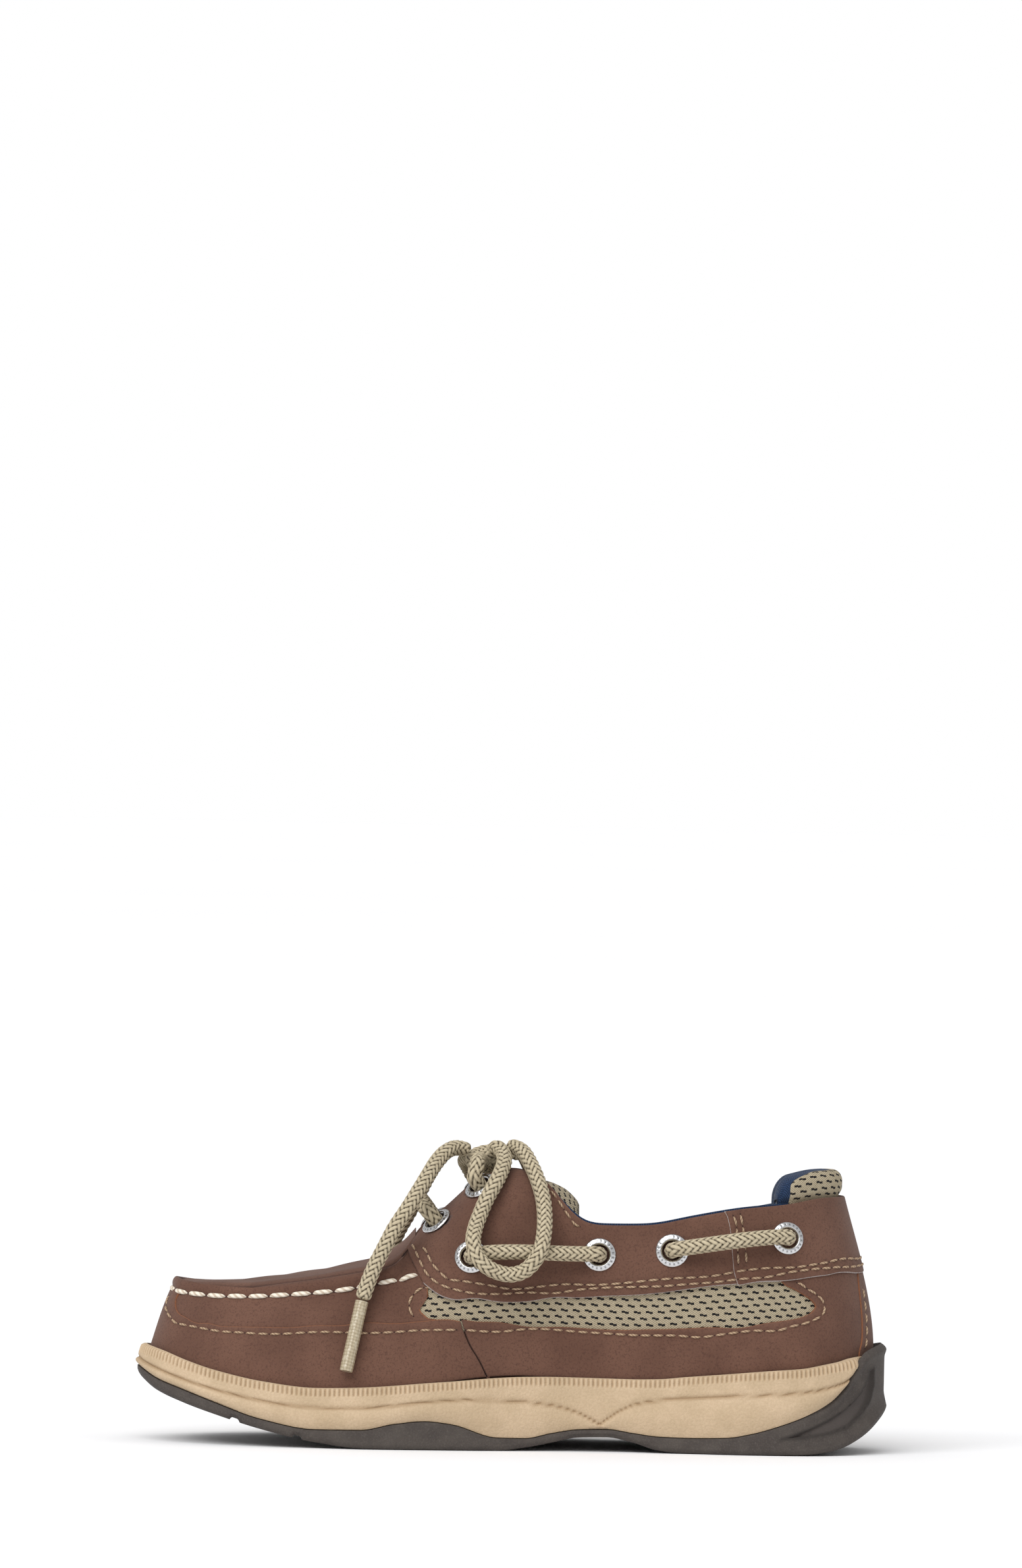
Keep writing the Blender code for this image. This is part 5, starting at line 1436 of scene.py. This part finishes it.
def panel(name, edges, high, low, finish, slot, rows=(), step=PANEL_STEP, cut_wide=0.0007, holes=()):
    """A flat-cut piece laid on the wall, from edges of (u, v), each with how raw its cut shows.

    The outline and two rings inside it round the cut edge over, and a lattice of triangles fills the
    rest. Seams (flat polylines in rows) press it in, and holes are left open.
    """
    line, raw = [], []
    for spots, strength in edges:
        flat = flat_of(np.asarray(spots, float))
        if len(flat) > 2:
            part = smooth_route(flat, OUTLINE_STEP)
        else:
            pieces = max(2, int(np.linalg.norm(flat[1] - flat[0]) / STRAIGHT_STEP))
            part = flat[0] + np.linspace(0, 1, pieces)[:, None] * (flat[1] - flat[0])
        line.append(part[:-1])
        raw.append(np.full(len(part) - 1, float(strength)))
    line, raw = np.concatenate(line), np.concatenate(raw)
    keep = np.linalg.norm(line - np.roll(line, 1, 0), axis=1) > 1e-5
    line, raw = line[keep], raw[keep]
    area = np.sum(line[:, 0] * np.roll(line[:, 1], -1) - line[:, 1] * np.roll(line[:, 0], -1))
    if area < 0:
        line, raw = line[::-1], raw[::-1]
    run = unit(np.roll(line, -1, 0) - np.roll(line, 1, 0))
    inward = np.stack([-run[:, 1], run[:, 0]], 1)
    groups = [line]
    for depth in EDGE_RINGS:
        ring = line + inward * depth
        groups.append(ring[inside(ring, line) & (distance_to(ring, line, True) > 0.85 * depth)])
    low_corner, high_corner = line.min(0), line.max(0)
    x, y = np.meshgrid(np.arange(low_corner[0], high_corner[0], step),
                       np.arange(low_corner[1], high_corner[1], step * 0.87))
    x = x + (np.arange(x.shape[0]) % 2)[:, None] * step / 2
    lattice = np.stack([x.ravel(), y.ravel()], 1)
    lattice = lattice[inside(lattice, line)]
    lattice = lattice[distance_to(lattice, line, True) > LATTICE_CLEAR]
    loop = [(k, (k + 1) % len(line)) for k in range(len(line))]
    turn = np.linspace(0, 2 * np.pi, HOLE_SIDES, endpoint=False)
    wheel = np.stack([np.cos(turn), np.sin(turn)], 1) * HOLE_RADIUS
    for hole in holes:
        lattice = lattice[np.linalg.norm(lattice - hole, axis=1) > HOLE_RADIUS + HOLE_CLEAR]
        first = sum(len(g) for g in groups)
        groups.append(hole + wheel)
        loop += [(first + k, first + (k + 1) % HOLE_SIDES) for k in range(HOLE_SIDES)]
    groups.append(lattice)
    flat = np.concatenate(groups)
    made = delaunay_2d_cdt([Vector(p * 1000) for p in flat], loop, [], 1, 1e-6, True)
    out = np.array([tuple(p) for p in made[0]]) / 1000
    triangles = np.array([f for f in made[2] if len(f) == 3])
    middles = out[triangles].mean(1)
    kept = inside(middles, line)
    for hole in holes:
        kept &= np.linalg.norm(middles - hole, axis=1) > HOLE_RADIUS * 0.99
    triangles = triangles[kept]
    where = {old: k for k, olds in enumerate(made[3]) for old in olds}
    border = np.array([where[k] for k in range(len(line))])
    depth = distance_to(out, line, True)
    depth[border] = 0
    nearest = np.argmin(((out[:, None, :] - line[None, ::3, :]) ** 2).sum(-1), axis=1) * 3
    strength = raw[np.minimum(nearest, len(raw) - 1)]
    rounding = EDGE_ROUND * np.clip(1 - depth / EDGE_RINGS[-1], 0, 1) ** 2
    press = np.zeros(len(out))
    for row in rows:
        press = np.maximum(press, np.exp(-(distance_to(out, row) / SEAM_WIDE) ** 2))
    u, v = on_wall(out)
    top = skin(u, v, high - rounding - SEAM_DIP * press)
    bottom = skin(u, v, low)
    count = len(out)
    nxt = np.roll(border, -1)
    skirt = [np.stack([border, nxt, nxt + count, border + count], 1)]
    for k in range(len(holes)):
        ring = np.array([where[sum(len(g) for g in groups[:3 + k]) + n] for n in range(HOLE_SIDES)])
        nxt = np.roll(ring, -1)
        skirt.append(np.stack([nxt, ring, ring + count, nxt + count], 1))
    skirt = np.concatenate(skirt)
    cut = np.concatenate([strength * np.clip(1 - depth / cut_wide, 0, 1), strength])
    # Painted shade along the pressed stitch rows.
    seam = np.concatenate([0.3 * press, 0 * press])
    uv = np.tile(out, (2, 1))
    return make_piece(name, np.concatenate([top, bottom]), [triangles[:, ::-1], triangles + count, skirt],
                      finish, {"cut": cut, "shade": seam}, uv, sharp=0.9)


# Outlines in the photograph's pixels, read along the near side
GUARD_TOP = ((700, 2006), (690, 2008), (640, 2009), (600, 2009), (560, 2009.5), (520, 2011), (480, 2012),
             (440, 2015), (400, 2016), (360, 2015), (340, 2013), (320, 2010), (300, 2007), (284, 2001),
             (273, 1994), (268, 1983), (269, 1971), (277, 1959))
GUARD_BACK = ((742, 2096), (725, 2065), (715, 2045), (706, 2025), (700, 2006))
GUARD_ROW = ((262, 1962), (256, 1972), (254, 1983), (256, 1993), (262, 2002), (270, 2008), (280, 2011.5),
             (300, 2016), (320, 2020), (340, 2023), (370, 2025), (420, 2025), (480, 2024.5), (560, 2024),
             (640, 2021), (700, 2017.5))
QUARTER_ROW = ((702, 2017.5), (760, 2019), (800, 2021), (880, 2023), (960, 2026), (1020, 2028), (1060, 2029),
               (1100, 2027), (1140, 2023), (1180, 2019), (1200, 2016), (1220, 2011), (1238, 2004),
               (1247, 1996), (1250, 1985), (1247, 1975), (1238, 1965), (1225, 1957), (1210, 1950),
               (1202, 1946))
WINDOW_LOW = ((701, 2007), (720, 2009), (760, 2011), (800, 2013), (860, 2016), (920, 2018), (1000, 2019),
              (1040, 2018), (1080, 2017), (1120, 2015), (1160, 2011), (1200, 2005), (1220, 2000),
              (1232, 1994), (1237, 1985), (1232, 1975), (1220, 1966), (1205, 1957), (1190, 1950),
              (1182, 1944))
FRONT_ROW = ((668, 1957), (655, 1956), (642, 1958), (630, 1966), (623, 1979), (624, 1992), (632, 2005))
SADDLE_FRONT = ((612, 1884), (618, 1894), (624, 1910), (634, 1930), (644, 1950))
SADDLE_LOW = ((644, 1950), (655, 1960), (670, 1967), (690, 1972), (720, 1975), (760, 1976), (800, 1975.5),
              (840, 1973), (880, 1970), (920, 1968), (960, 1966), (1000, 1963), (1040, 1959), (1080, 1955),
              (1118, 1952), (1150, 1949), (1180, 1945), (1220, 1941), (1260, 1937), (1300, 1932))
SADDLE_ROWS = (((622, 1882), (629, 1895), (639, 1917), (649, 1937), (660, 1948), (675, 1953), (690, 1958),
                (720, 1963), (760, 1964.5), (800, 1965), (840, 1963), (880, 1961), (960, 1957), (1040, 1950),
                (1080, 1947), (1120, 1943), (1160, 1939), (1200, 1934), (1240, 1929), (1280, 1924),
                (1300, 1921)),
               ((636, 1896), (646, 1897), (652, 1908), (658, 1920), (667, 1933), (682, 1943), (700, 1949),
                (740, 1955), (780, 1957), (820, 1956), (860, 1953), (900, 1950), (1000, 1943), (1080, 1937),
                (1120, 1933), (1160, 1929), (1200, 1924), (1240, 1919), (1280, 1914), (1300, 1911)))
THROAT_ROW = ((832, 1805), (845, 1823), (855, 1838), (865, 1852), (874, 1863), (884, 1866))
COLLAR_FRONT = ((1100, 1846), (1105, 1860), (1108, 1880), (1110, 1910), (1112, 1930), (1118, 1951))
COLLAR_ROWS = (((1110, 1846), (1115, 1860), (1117, 1880), (1118, 1905), (1119, 1924)),
               ((1121, 1842), (1125, 1860), (1128, 1880), (1130, 1905), (1131, 1924)))
STRIP_EDGE = ((1300, 1925), (1302, 1950), (1305, 1980), (1307, 2010), (1306, 2035), (1302, 2054))
MESH_OUTLINE = ((640, 1950), (1180, 1935), (1262, 1940), (1262, 2010), (1180, 2030), (1000, 2036),
                (800, 2030), (660, 2022), (632, 2005), (628, 1970))

# How far each layer stands over the wall, the panels' foot on it, and the tops of saddle and collar
SURFACES = {"guard": 0.0, "quarter": 0.0, "strip": 0.0004, "saddle": 0.00045, "collar": 0.0008}
MESH_HIGH, MESH_LOW = -0.0010, -0.0016
FOOT, SADDLE_TOP, COLLAR_TOP = 0.04, 0.995, 0.997
pale_cut = nubuck("brown_nubuck_pale_cut", PALE_EDGE)
topstitch = thread_finish("topstitch_thread", (0.45, 0.32, 0.205), (0.22, 0.135, 0.085), 0.0011)

guard_top, guard_back = seen(GUARD_TOP), seen(GUARD_BACK)
guard_row = seen(GUARD_ROW)
front_u, front_v = guard_top[-1]
seam_u = guard_back[0][0]
seam = [(seam_u, FOOT), guard_back[0]]
panel("upper_mudguard", [
    (guard_top, 1), (level_line(front_u, -front_u, front_v, 9), 0.6), (flip_side(guard_top, 0)[::-1], 1),
    (flip_side(guard_back, 0)[::-1], 0.0), (flip_side(seam, 0)[::-1], 0),
    (level_line(-seam_u, seam_u, FOOT, 60), 0), (seam, 0), (guard_back, 0.0)],
    SURFACES["guard"], BACKING, brown, "brown_leather",
    [flat_of(guard_row), flat_of(flip_side(guard_row, 0))])


# The mesh's dashes: from row to row and from dash to dash, and its weave's waves in a metre
DASH_ROWS, DASH_PITCH = 0.00188, 0.0039
MESH_WAVES = 11400


def mesh_finish():
    """Cream mesh: a close weave with dark pores, and rows of short stepped black dashes, each offset."""
    finish, start, places = new_finish("cream_mesh")
    across, up = pattern_of(start)
    wobble = start.noise(places, 0.0006, 2) * 0.00022
    row = (up + wobble) / DASH_ROWS
    along = (across + wobble) / DASH_PITCH + (row.maths("FLOOR") % 2) * 0.5
    stepped = ((along % 1) - 0.5).between(-0.02, 0.02) * 0.14
    in_row = ((row % 1) - 0.57 + stepped).maths("ABSOLUTE")
    in_dash = ((along % 1) - 0.5).maths("ABSOLUTE")
    dash = (1 - in_row.between(0.15, 0.20)) * (1 - in_dash.between(0.28, 0.31))
    one, two = across * MESH_WAVES, up * MESH_WAVES + across * (MESH_WAVES / 2)
    weave = (one.maths("SINE") * two.maths("SINE")) * 0.5 + 0.5
    pore = weave.between(0.58, 0.80)
    colour = start.noise(places, 0.0012, 2).blend((0.42, 0.35, 0.235), (0.55, 0.475, 0.34))
    colour = (pore * 0.9).blend(colour, (0.11, 0.082, 0.048))
    colour = dash.blend(colour, (0.012, 0.011, 0.011))
    shade(finish, Base_Color=colour, Roughness=0.88, Specular_IOR_Level=0.25,
          Normal=start.bump(weave, 0.0002, 0.9))
    return finish


cream = mesh_finish()
quarter_row, front_row = seen(QUARTER_ROW), seen(FRONT_ROW)
window_low = seen(WINDOW_LOW)
quarter_front = guard_back + [0.0009, 0]
saddle_front, saddle_low = seen(SADDLE_FRONT), seen(SADDLE_LOW)
saddle_top = (saddle_front[0][0] - 0.002, SADDLE_TOP)
low_end = saddle_low[-1]
heel_low = np.array([low_end, [0.488, low_end[1]], [0.5, low_end[1] + 0.003]])
saddle_rows = [seen(r) for r in SADDLE_ROWS]
throat_row = seen(THROAT_ROW)
collar_front = seen(COLLAR_FRONT)
collar_rows = [seen(r) for r in COLLAR_ROWS]
strip_edge = seen(STRIP_EDGE)
strip_row = strip_edge[1:] + [0.0065, 0]

eyelet_spots = {}
u, v = np.meshgrid(np.linspace(0, 1, 1200, endpoint=False), np.linspace(0.3, 1, 180), indexing="ij")
grid = wall_place(u, v)
for name, (centre, axis) in EYELETS.items():
    k = np.unravel_index(np.argmin(((grid - centre) ** 2).sum(-1)), u.shape)
    eyelet_spots[name] = flat_of(np.array([[u[k], v[k]]]))[0]

mesh_edge = seen(MESH_OUTLINE)
mesh_edges = [(mesh_edge[[k, (k + 1) % len(mesh_edge)]], 0) for k in range(len(mesh_edge))]
front_foot = (quarter_front[0][0], FOOT)
under_saddle = [window_low[-1], (saddle_low[-3][0], saddle_low[-3][1] + 0.03), (0.5, low_end[1] + 0.05)]
quarter_edges = [
    (quarter_front, 0.0), ([quarter_front[-1], window_low[0]], 0), (window_low, 0.85), (under_saddle, 0),
    ([under_saddle[-1], (0.5, FOOT)], 0), (level_line(0.5, front_foot[0], FOOT, 60), 0),
    ([front_foot, quarter_front[0]], 0)]
saddle_edges = [
    (saddle_front, 0.5), (saddle_low, 1.0), (heel_low, 1.0), ([heel_low[-1], (0.5, SADDLE_TOP)], 0),
    (level_line(0.5, saddle_top[0], SADDLE_TOP, 80), 0), ([saddle_top, saddle_front[0]], 0.5)]
collar_top = (collar_front[0][0] - 0.001, COLLAR_TOP)
collar_edges = [
    ([collar_top, *collar_front], 1.0), ([collar_front[-1], *saddle_low[15:], *heel_low[1:]], 1.0),
    ([heel_low[-1], (0.5, COLLAR_TOP)], 0), (level_line(0.5, collar_top[0], COLLAR_TOP, 40), 0)]


def side_panel(name, side, edges, rows, *settings, **more):
    """A panel of the near side as read, or the same one turned to the far side."""
    turned = [(SIDES[side](spots), raw) for spots, raw in edges]
    panel(f"upper_{name}_{side}", turned, *settings, rows=[flat_of(SIDES[side](r)) for r in rows], **more)


for side in SIDES:
    side_panel("mesh", side, mesh_edges, [], MESH_HIGH, MESH_LOW, cream, "cream_mesh", step=0.0016)
    side_panel("quarter", side, quarter_edges, [quarter_row], SURFACES["quarter"], BACKING, brown,
               "brown_leather")
    under_eyelets = [spot for name, spot in eyelet_spots.items() if side in name and name[-1] != "d"]
    side_panel("saddle", side, saddle_edges, saddle_rows + [throat_row], SURFACES["saddle"], BACKING,
               pale_cut, "brown_leather", cut_wide=0.00045, holes=under_eyelets)
    side_panel("collar", side, collar_edges, collar_rows, SURFACES["collar"], 0.0, pale_cut, "brown_leather",
               cut_wide=0.00045, holes=[eyelet_spots[f"eyelet_{side}_d"]])

strip = np.concatenate([strip_edge, [(strip_edge[-1][0], FOOT)]])
far_strip = flip_side(strip)
panel("upper_heel_strip", [
    (strip, 1.0), ([strip[-1], far_strip[-1]], 0), (far_strip[::-1], 1.0), ([far_strip[0], strip[0]], 0)],
    SURFACES["strip"], BACKING, brown, "brown_leather", [flat_of(strip_row), flat_of(flip_side(strip_row))],
    cut_wide=0.0010)


# Topstitching: fine tan thread in single and double rows along the panels' edges, with a needle
# hole painted dark as shade between one stitch and the next.

TOP_PITCH, TOP_LONG, TOP_THICK, TOP_HOLE = 0.0037, 0.0030, 0.00074, 0.00033


def sewn(spots, layer):
    """A route for stitches through (u, v) spots on a layer; the band's climb onto the collar piece."""
    u, v = on_wall(smooth_route(flat_of(spots), 0.0008))
    if layer == "band":
        behind = np.minimum(u, 1 - u) > collar_front[3][0] + 0.002
        return u, v, np.where(behind, SURFACES["collar"], SURFACES["saddle"] - SEAM_DIP)
    high = VAMP_HIGH if layer == "vamp" else SURFACES[layer] - SEAM_DIP
    return u, v, np.full(len(u), high)


sewn_rows = []
band_rows = [np.concatenate([row, [(0.4995, row[-1][1] + 0.004)]]) for row in saddle_rows]
for turn_side in SIDES.values():
    for layer, rows in (("guard", [guard_row]), ("quarter", [quarter_row]), ("vamp", [front_row]),
                        ("band", band_rows), ("saddle", [throat_row]), ("collar", collar_rows),
                        ("strip", [strip_row])):
        sewn_rows += [sewn(turn_side(row), layer) for row in rows]
stitch_rows("stitches_top", sewn_rows, TOP_PITCH, TOP_LONG, TOP_THICK, topstitch, holes=TOP_HOLE)


# Tongue: padded, faced with the cream mesh and lined with navy textile. It lies under the throat
# and its rounded free end shows behind the saddle.

TONGUE_THICKNESS = 0.0035
TONGUE_COLUMNS = ("along", "high", "crown", "half_width", "thick")
TONGUE = (
    (0.338, 0.660, 0.030, 0.180, 0.60), (0.378, 0.730, 0.050, 0.205, 1.00),
    (0.414, 0.805, 0.065, 0.215, 1.00), (0.450, 0.905, 0.080, 0.220, 1.00),
    (0.495, 0.955, 0.090, 0.225, 1.10), (0.536, 0.950, 0.090, 0.225, 1.30),
    (0.563, 0.925, 0.100, 0.225, 1.50), (0.584, 0.890, 0.105, 0.215, 1.20),
)


def tongue_section(share):
    """The sheet that lies a share of the thickness below the tongue's top, thin at sides and free end."""
    rows = table(TONGUE, TONGUE_COLUMNS)
    along = np.linspace(rows["along"][0], rows["along"][-1], 90)
    read = {name: curve(rows["along"], rows[name], along)[:, None] for name in TONGUE_COLUMNS[1:]}
    s = np.linspace(-1, 1, 61)[None, :]
    end = np.clip((rows["along"][-1] - along) * LENGTH / 0.006, 0, 1)[:, None]
    full = np.sqrt(np.clip(1 - (1 - end) ** 2, 0.0, 1))
    y = s * read["half_width"] * BALL_WIDTH * (0.8 + 0.2 * full)
    z = (read["high"] - read["crown"] * np.abs(s) ** 2.2) * INSTEP_HEIGHT
    slope = np.gradient(read["high"][:, 0] * INSTEP_HEIGHT, along * LENGTH)[:, None]
    thick = TONGUE_THICKNESS * read["thick"] * np.sqrt(np.maximum(0.02, 1 - s ** 4)) * (0.15 + 0.85 * full)
    down = share * thick
    lean = np.sqrt(1 + slope ** 2)
    x = along[:, None] * LENGTH + down * slope / lean
    mid = 0.5 * TONGUE_THICKNESS * read["thick"] * (1 - full)
    return np.stack([x + 0 * s, y + 0 * x, z - down / lean - mid], -1) - [LENGTH / 2, 0, 0]


def pad_piece(name, top, bottom, finish, stands_for=()):
    """A closed pad between two sheets of equal grid, its pattern measured along their middle lines."""
    run, wide = run_along(top[:, top.shape[1] // 2]), run_along(top[top.shape[0] // 2])
    uv = np.stack(np.broadcast_arrays(wide[None, :], run[:, None]), -1).reshape(-1, 2)
    points, faces = closed_sheets(top, bottom)
    return make_piece(name, points, faces, finish, uv=np.tile(uv, (2, 1)), stands_for=stands_for)


tongue_face = pad_piece("tongue_face", tongue_section(0.0), tongue_section(0.62), cream,
                        ["tongue"])
pad_piece("tongue_lining", tongue_section(0.60), tongue_section(1.0), navy)


# Heel cushion: a soft roll inside the back of the collar that stands above the leather, cream mesh
# outside, navy lining towards the foot.

PAD_THICKNESS, PAD_RISE, PAD_END_RISE, PAD_DEPTH = 0.006, 0.0072, 0.0012, 0.009
PAD_LEAN, PAD_FRONT, FACE_FRONT = 0.0016, 0.850, 0.863
ROLL_POINTS, ROLL_STATIONS, FACE_STATIONS, FACE_POINTS = 53, 141, 181, 27
FACE_PROUD, FACE_SUNK = 0.0007, 0.0012

# The roll's section from outside low over the top to inside low: inwards as shares of its thickness less
# shares of its lean, upwards as shares of its rise and of GAP less shares of its depth
ROLL_COLUMNS = ("thick", "lean", "rise", "gap", "depth")
ROLL = (
    (0.00, 0.00, 0.00, 0, 1.0), (0.00, 0.00, 0.00, 0, 0.4), (0.00, 0.30, 0.00, 0, 0.0),
    (0.00, 1.00, 0.30, 1, 0.0), (0.00, 1.05, 0.58, 1, 0.0), (0.00, 0.70, 0.82, 1, 0.0),
    (0.10, 0.00, 0.98, 1, 0.0), (0.38, 0.00, 1.04, 1, 0.0), (0.65, 0.00, 0.97, 1, 0.0),
    (0.88, 0.00, 0.75, 1, 0.0), (0.97, 0.00, 0.40, 0, 0.0), (1.00, 0.00, 0.00, 0, 0.3),
    (0.90, 0.00, 0.00, 0, 0.7), (0.70, 0.00, 0.00, 0, 1.0),
)


def cushion_start(along):
    """The u on the inner side at which the top ring reaches a share of LENGTH."""
    return np.interp(along * LENGTH, RINGS["top_x"][:FINE // 2], STATION[:FINE // 2])


def cushion_section(u, more):
    """The roll's surface at each u, moved out by more; it thins and sinks towards both ends."""
    full = np.clip((1 - np.abs(u - 0.5) / (0.5 - cushion_start(PAD_FRONT))) / 0.16, 0, 1)
    full = np.sqrt(1 - (1 - full) ** 2)
    rise = PAD_END_RISE + (PAD_RISE - PAD_END_RISE) * full
    lean, thick = PAD_LEAN * full, PAD_THICKNESS * (0.35 + 0.65 * full)
    depth = PAD_DEPTH * (0.45 + 0.55 * full)
    roll = {name: column[:, None] for name, column in table(ROLL, ROLL_COLUMNS).items()}
    away = WALL + GAP + roll["thick"] * thick - roll["lean"] * lean
    high = roll["gap"] * GAP + roll["rise"] * rise - roll["depth"] * depth
    knots = np.arange(len(ROLL))
    fine = np.linspace(0, len(ROLL) - 1, ROLL_POINTS)
    away = np.stack([curve(knots, away[:, k], fine) for k in range(len(u))], 1)
    high = np.stack([curve(knots, high[:, k], fine) for k in range(len(u))], 1)
    top = wall_place(u, 1)
    tangent = unit(np.gradient(top[:, :2], axis=0))
    inward = np.stack([-tangent[:, 1], tangent[:, 0]], 1)
    if inward[len(u) // 2, 0] > 0:
        inward = -inward
    flat = top[None, :, :2] + inward[None] * away[..., None]
    rows = np.concatenate([flat, (top[None, :, 2] + high)[..., None]], 2)
    normal = unit(np.cross(np.gradient(rows, axis=0), np.gradient(rows, axis=1)))
    if normal[ROLL_POINTS // 2, len(u) // 2, 2] < 0:
        normal = -normal
    return rows + normal * more


def cushion_lining():
    """The whole roll in navy, closed at both ends."""
    start_u = cushion_start(PAD_FRONT)
    rows = cushion_section(np.linspace(start_u, 1 - start_u, ROLL_STATIONS), 0.0)
    section = np.arange(ROLL_POINTS)[None, :] * ROLL_STATIONS
    faces = [grid_faces(ROLL_POINTS, ROLL_STATIONS, closed_rows=True), section[:, ::-1],
             section + ROLL_STATIONS - 1]
    uv = np.stack([np.tile(np.arange(ROLL_STATIONS) * 0.0005, ROLL_POINTS),
                   np.repeat(np.arange(ROLL_POINTS) * 0.0004, ROLL_STATIONS)], 1)
    return make_piece("heel_cushion_lining", rows.reshape(-1, 3), faces, navy, uv=uv,
                      stands_for=["collar_pad"])


def cushion_face():
    """The mesh facing, laid over the outer half of the roll and a little shorter than it."""
    start_u = cushion_start(FACE_FRONT)
    u = np.linspace(start_u, 1 - start_u, FACE_STATIONS)
    over, under = (cushion_section(u, more)[:FACE_POINTS] for more in (FACE_PROUD, -FACE_SUNK))
    from_end = np.minimum(np.arange(FACE_STATIONS), FACE_STATIONS - 1 - np.arange(FACE_STATIONS))
    ends = np.clip(from_end / 7, 0, 1)[None, :]
    reach = 18 + 8 * np.sqrt(np.clip(from_end / 30, 0, 1))[None, :]
    lip = np.clip((reach - np.arange(FACE_POINTS)[:, None]) / 4, 0, 1)
    share = np.sqrt(1 - (1 - ends) ** 2) * np.sqrt(1 - (1 - lip) ** 2)
    face = under + (over - under) * share[..., None]
    return pad_piece("heel_cushion_face", face, under, cream)


cushion_lining()
cushion_face()


# Eyelets: polished steel rings pressed through the leather, domed, with a ring of plain dots pressed
# into the flange.

# The section in millimetres: out from the axis and up from the leather
PROFILE = ((2.95, -2.1), (3.5, -2.1), (3.4, -1.7), (3.3, 0.3), (4.2, 0.3), (4.86, 0.3), (4.93, 0.42),
           (4.86, 0.62), (4.66, 0.82), (4.40, 0.98), (4.10, 1.14), (3.85, 1.24), (3.60, 1.28), (3.35, 1.24),
           (3.12, 1.08), (2.98, 0.85), (2.95, 0.45))
TURNS, DOTS = 144, 20
DOT_RADIUS, DOT_WIDE, DOT_DEEP = 0.0041, 0.00030, 0.00016


def steel_finish():
    """Bright steel with faint wear, dark in the pressed dots."""
    finish, start, places = new_finish("eyelet_steel")
    wear = start.noise(places, 0.0008, 3)
    colour = mark(start, "deep").blend((0.66, 0.66, 0.67), (0.08, 0.08, 0.08))
    shade(finish, Base_Color=colour, Metallic=1.0, Roughness=wear * 0.16 + 0.14)
    return finish


def eyelet_ring(name, finish):
    """A profile turned round the eyelet's axis, with a ring of round dips in its upper face."""
    centre, axis = EYELETS[name]
    out, up = np.array(PROFILE).T / 1000
    angle = np.arange(TURNS) / TURNS * 2 * np.pi
    side = unit(np.cross(axis, [0, 0, 1.0]))
    ray = np.cos(angle)[:, None] * side + np.sin(angle)[:, None] * np.cross(axis, side)
    band = np.exp(-((out - DOT_RADIUS) / DOT_WIDE) ** 2) * (up > 0.0007)
    dot = (0.5 - 0.5 * np.cos(DOTS * angle)[:, None]) ** 1.5
    high = up - DOT_DEEP * band * dot
    deep = band * np.clip(dot * 1.3 - 0.35, 0, 1)
    seat = SURFACES["collar" if name.endswith("_d") else "saddle"] - GAP
    points = centre + ray[:, None, :] * out[:, None] + axis * (high[..., None] + seat)
    faces = grid_faces(TURNS, len(out), closed_rows=True, closed_columns=True)
    make_piece(name + "_ring", points.reshape(-1, 3), [faces], finish, {"deep": deep},
               sharp=1.1, stands_for=[name])


steel = steel_finish()
for name in EYELETS:
    eyelet_ring(name, steel)
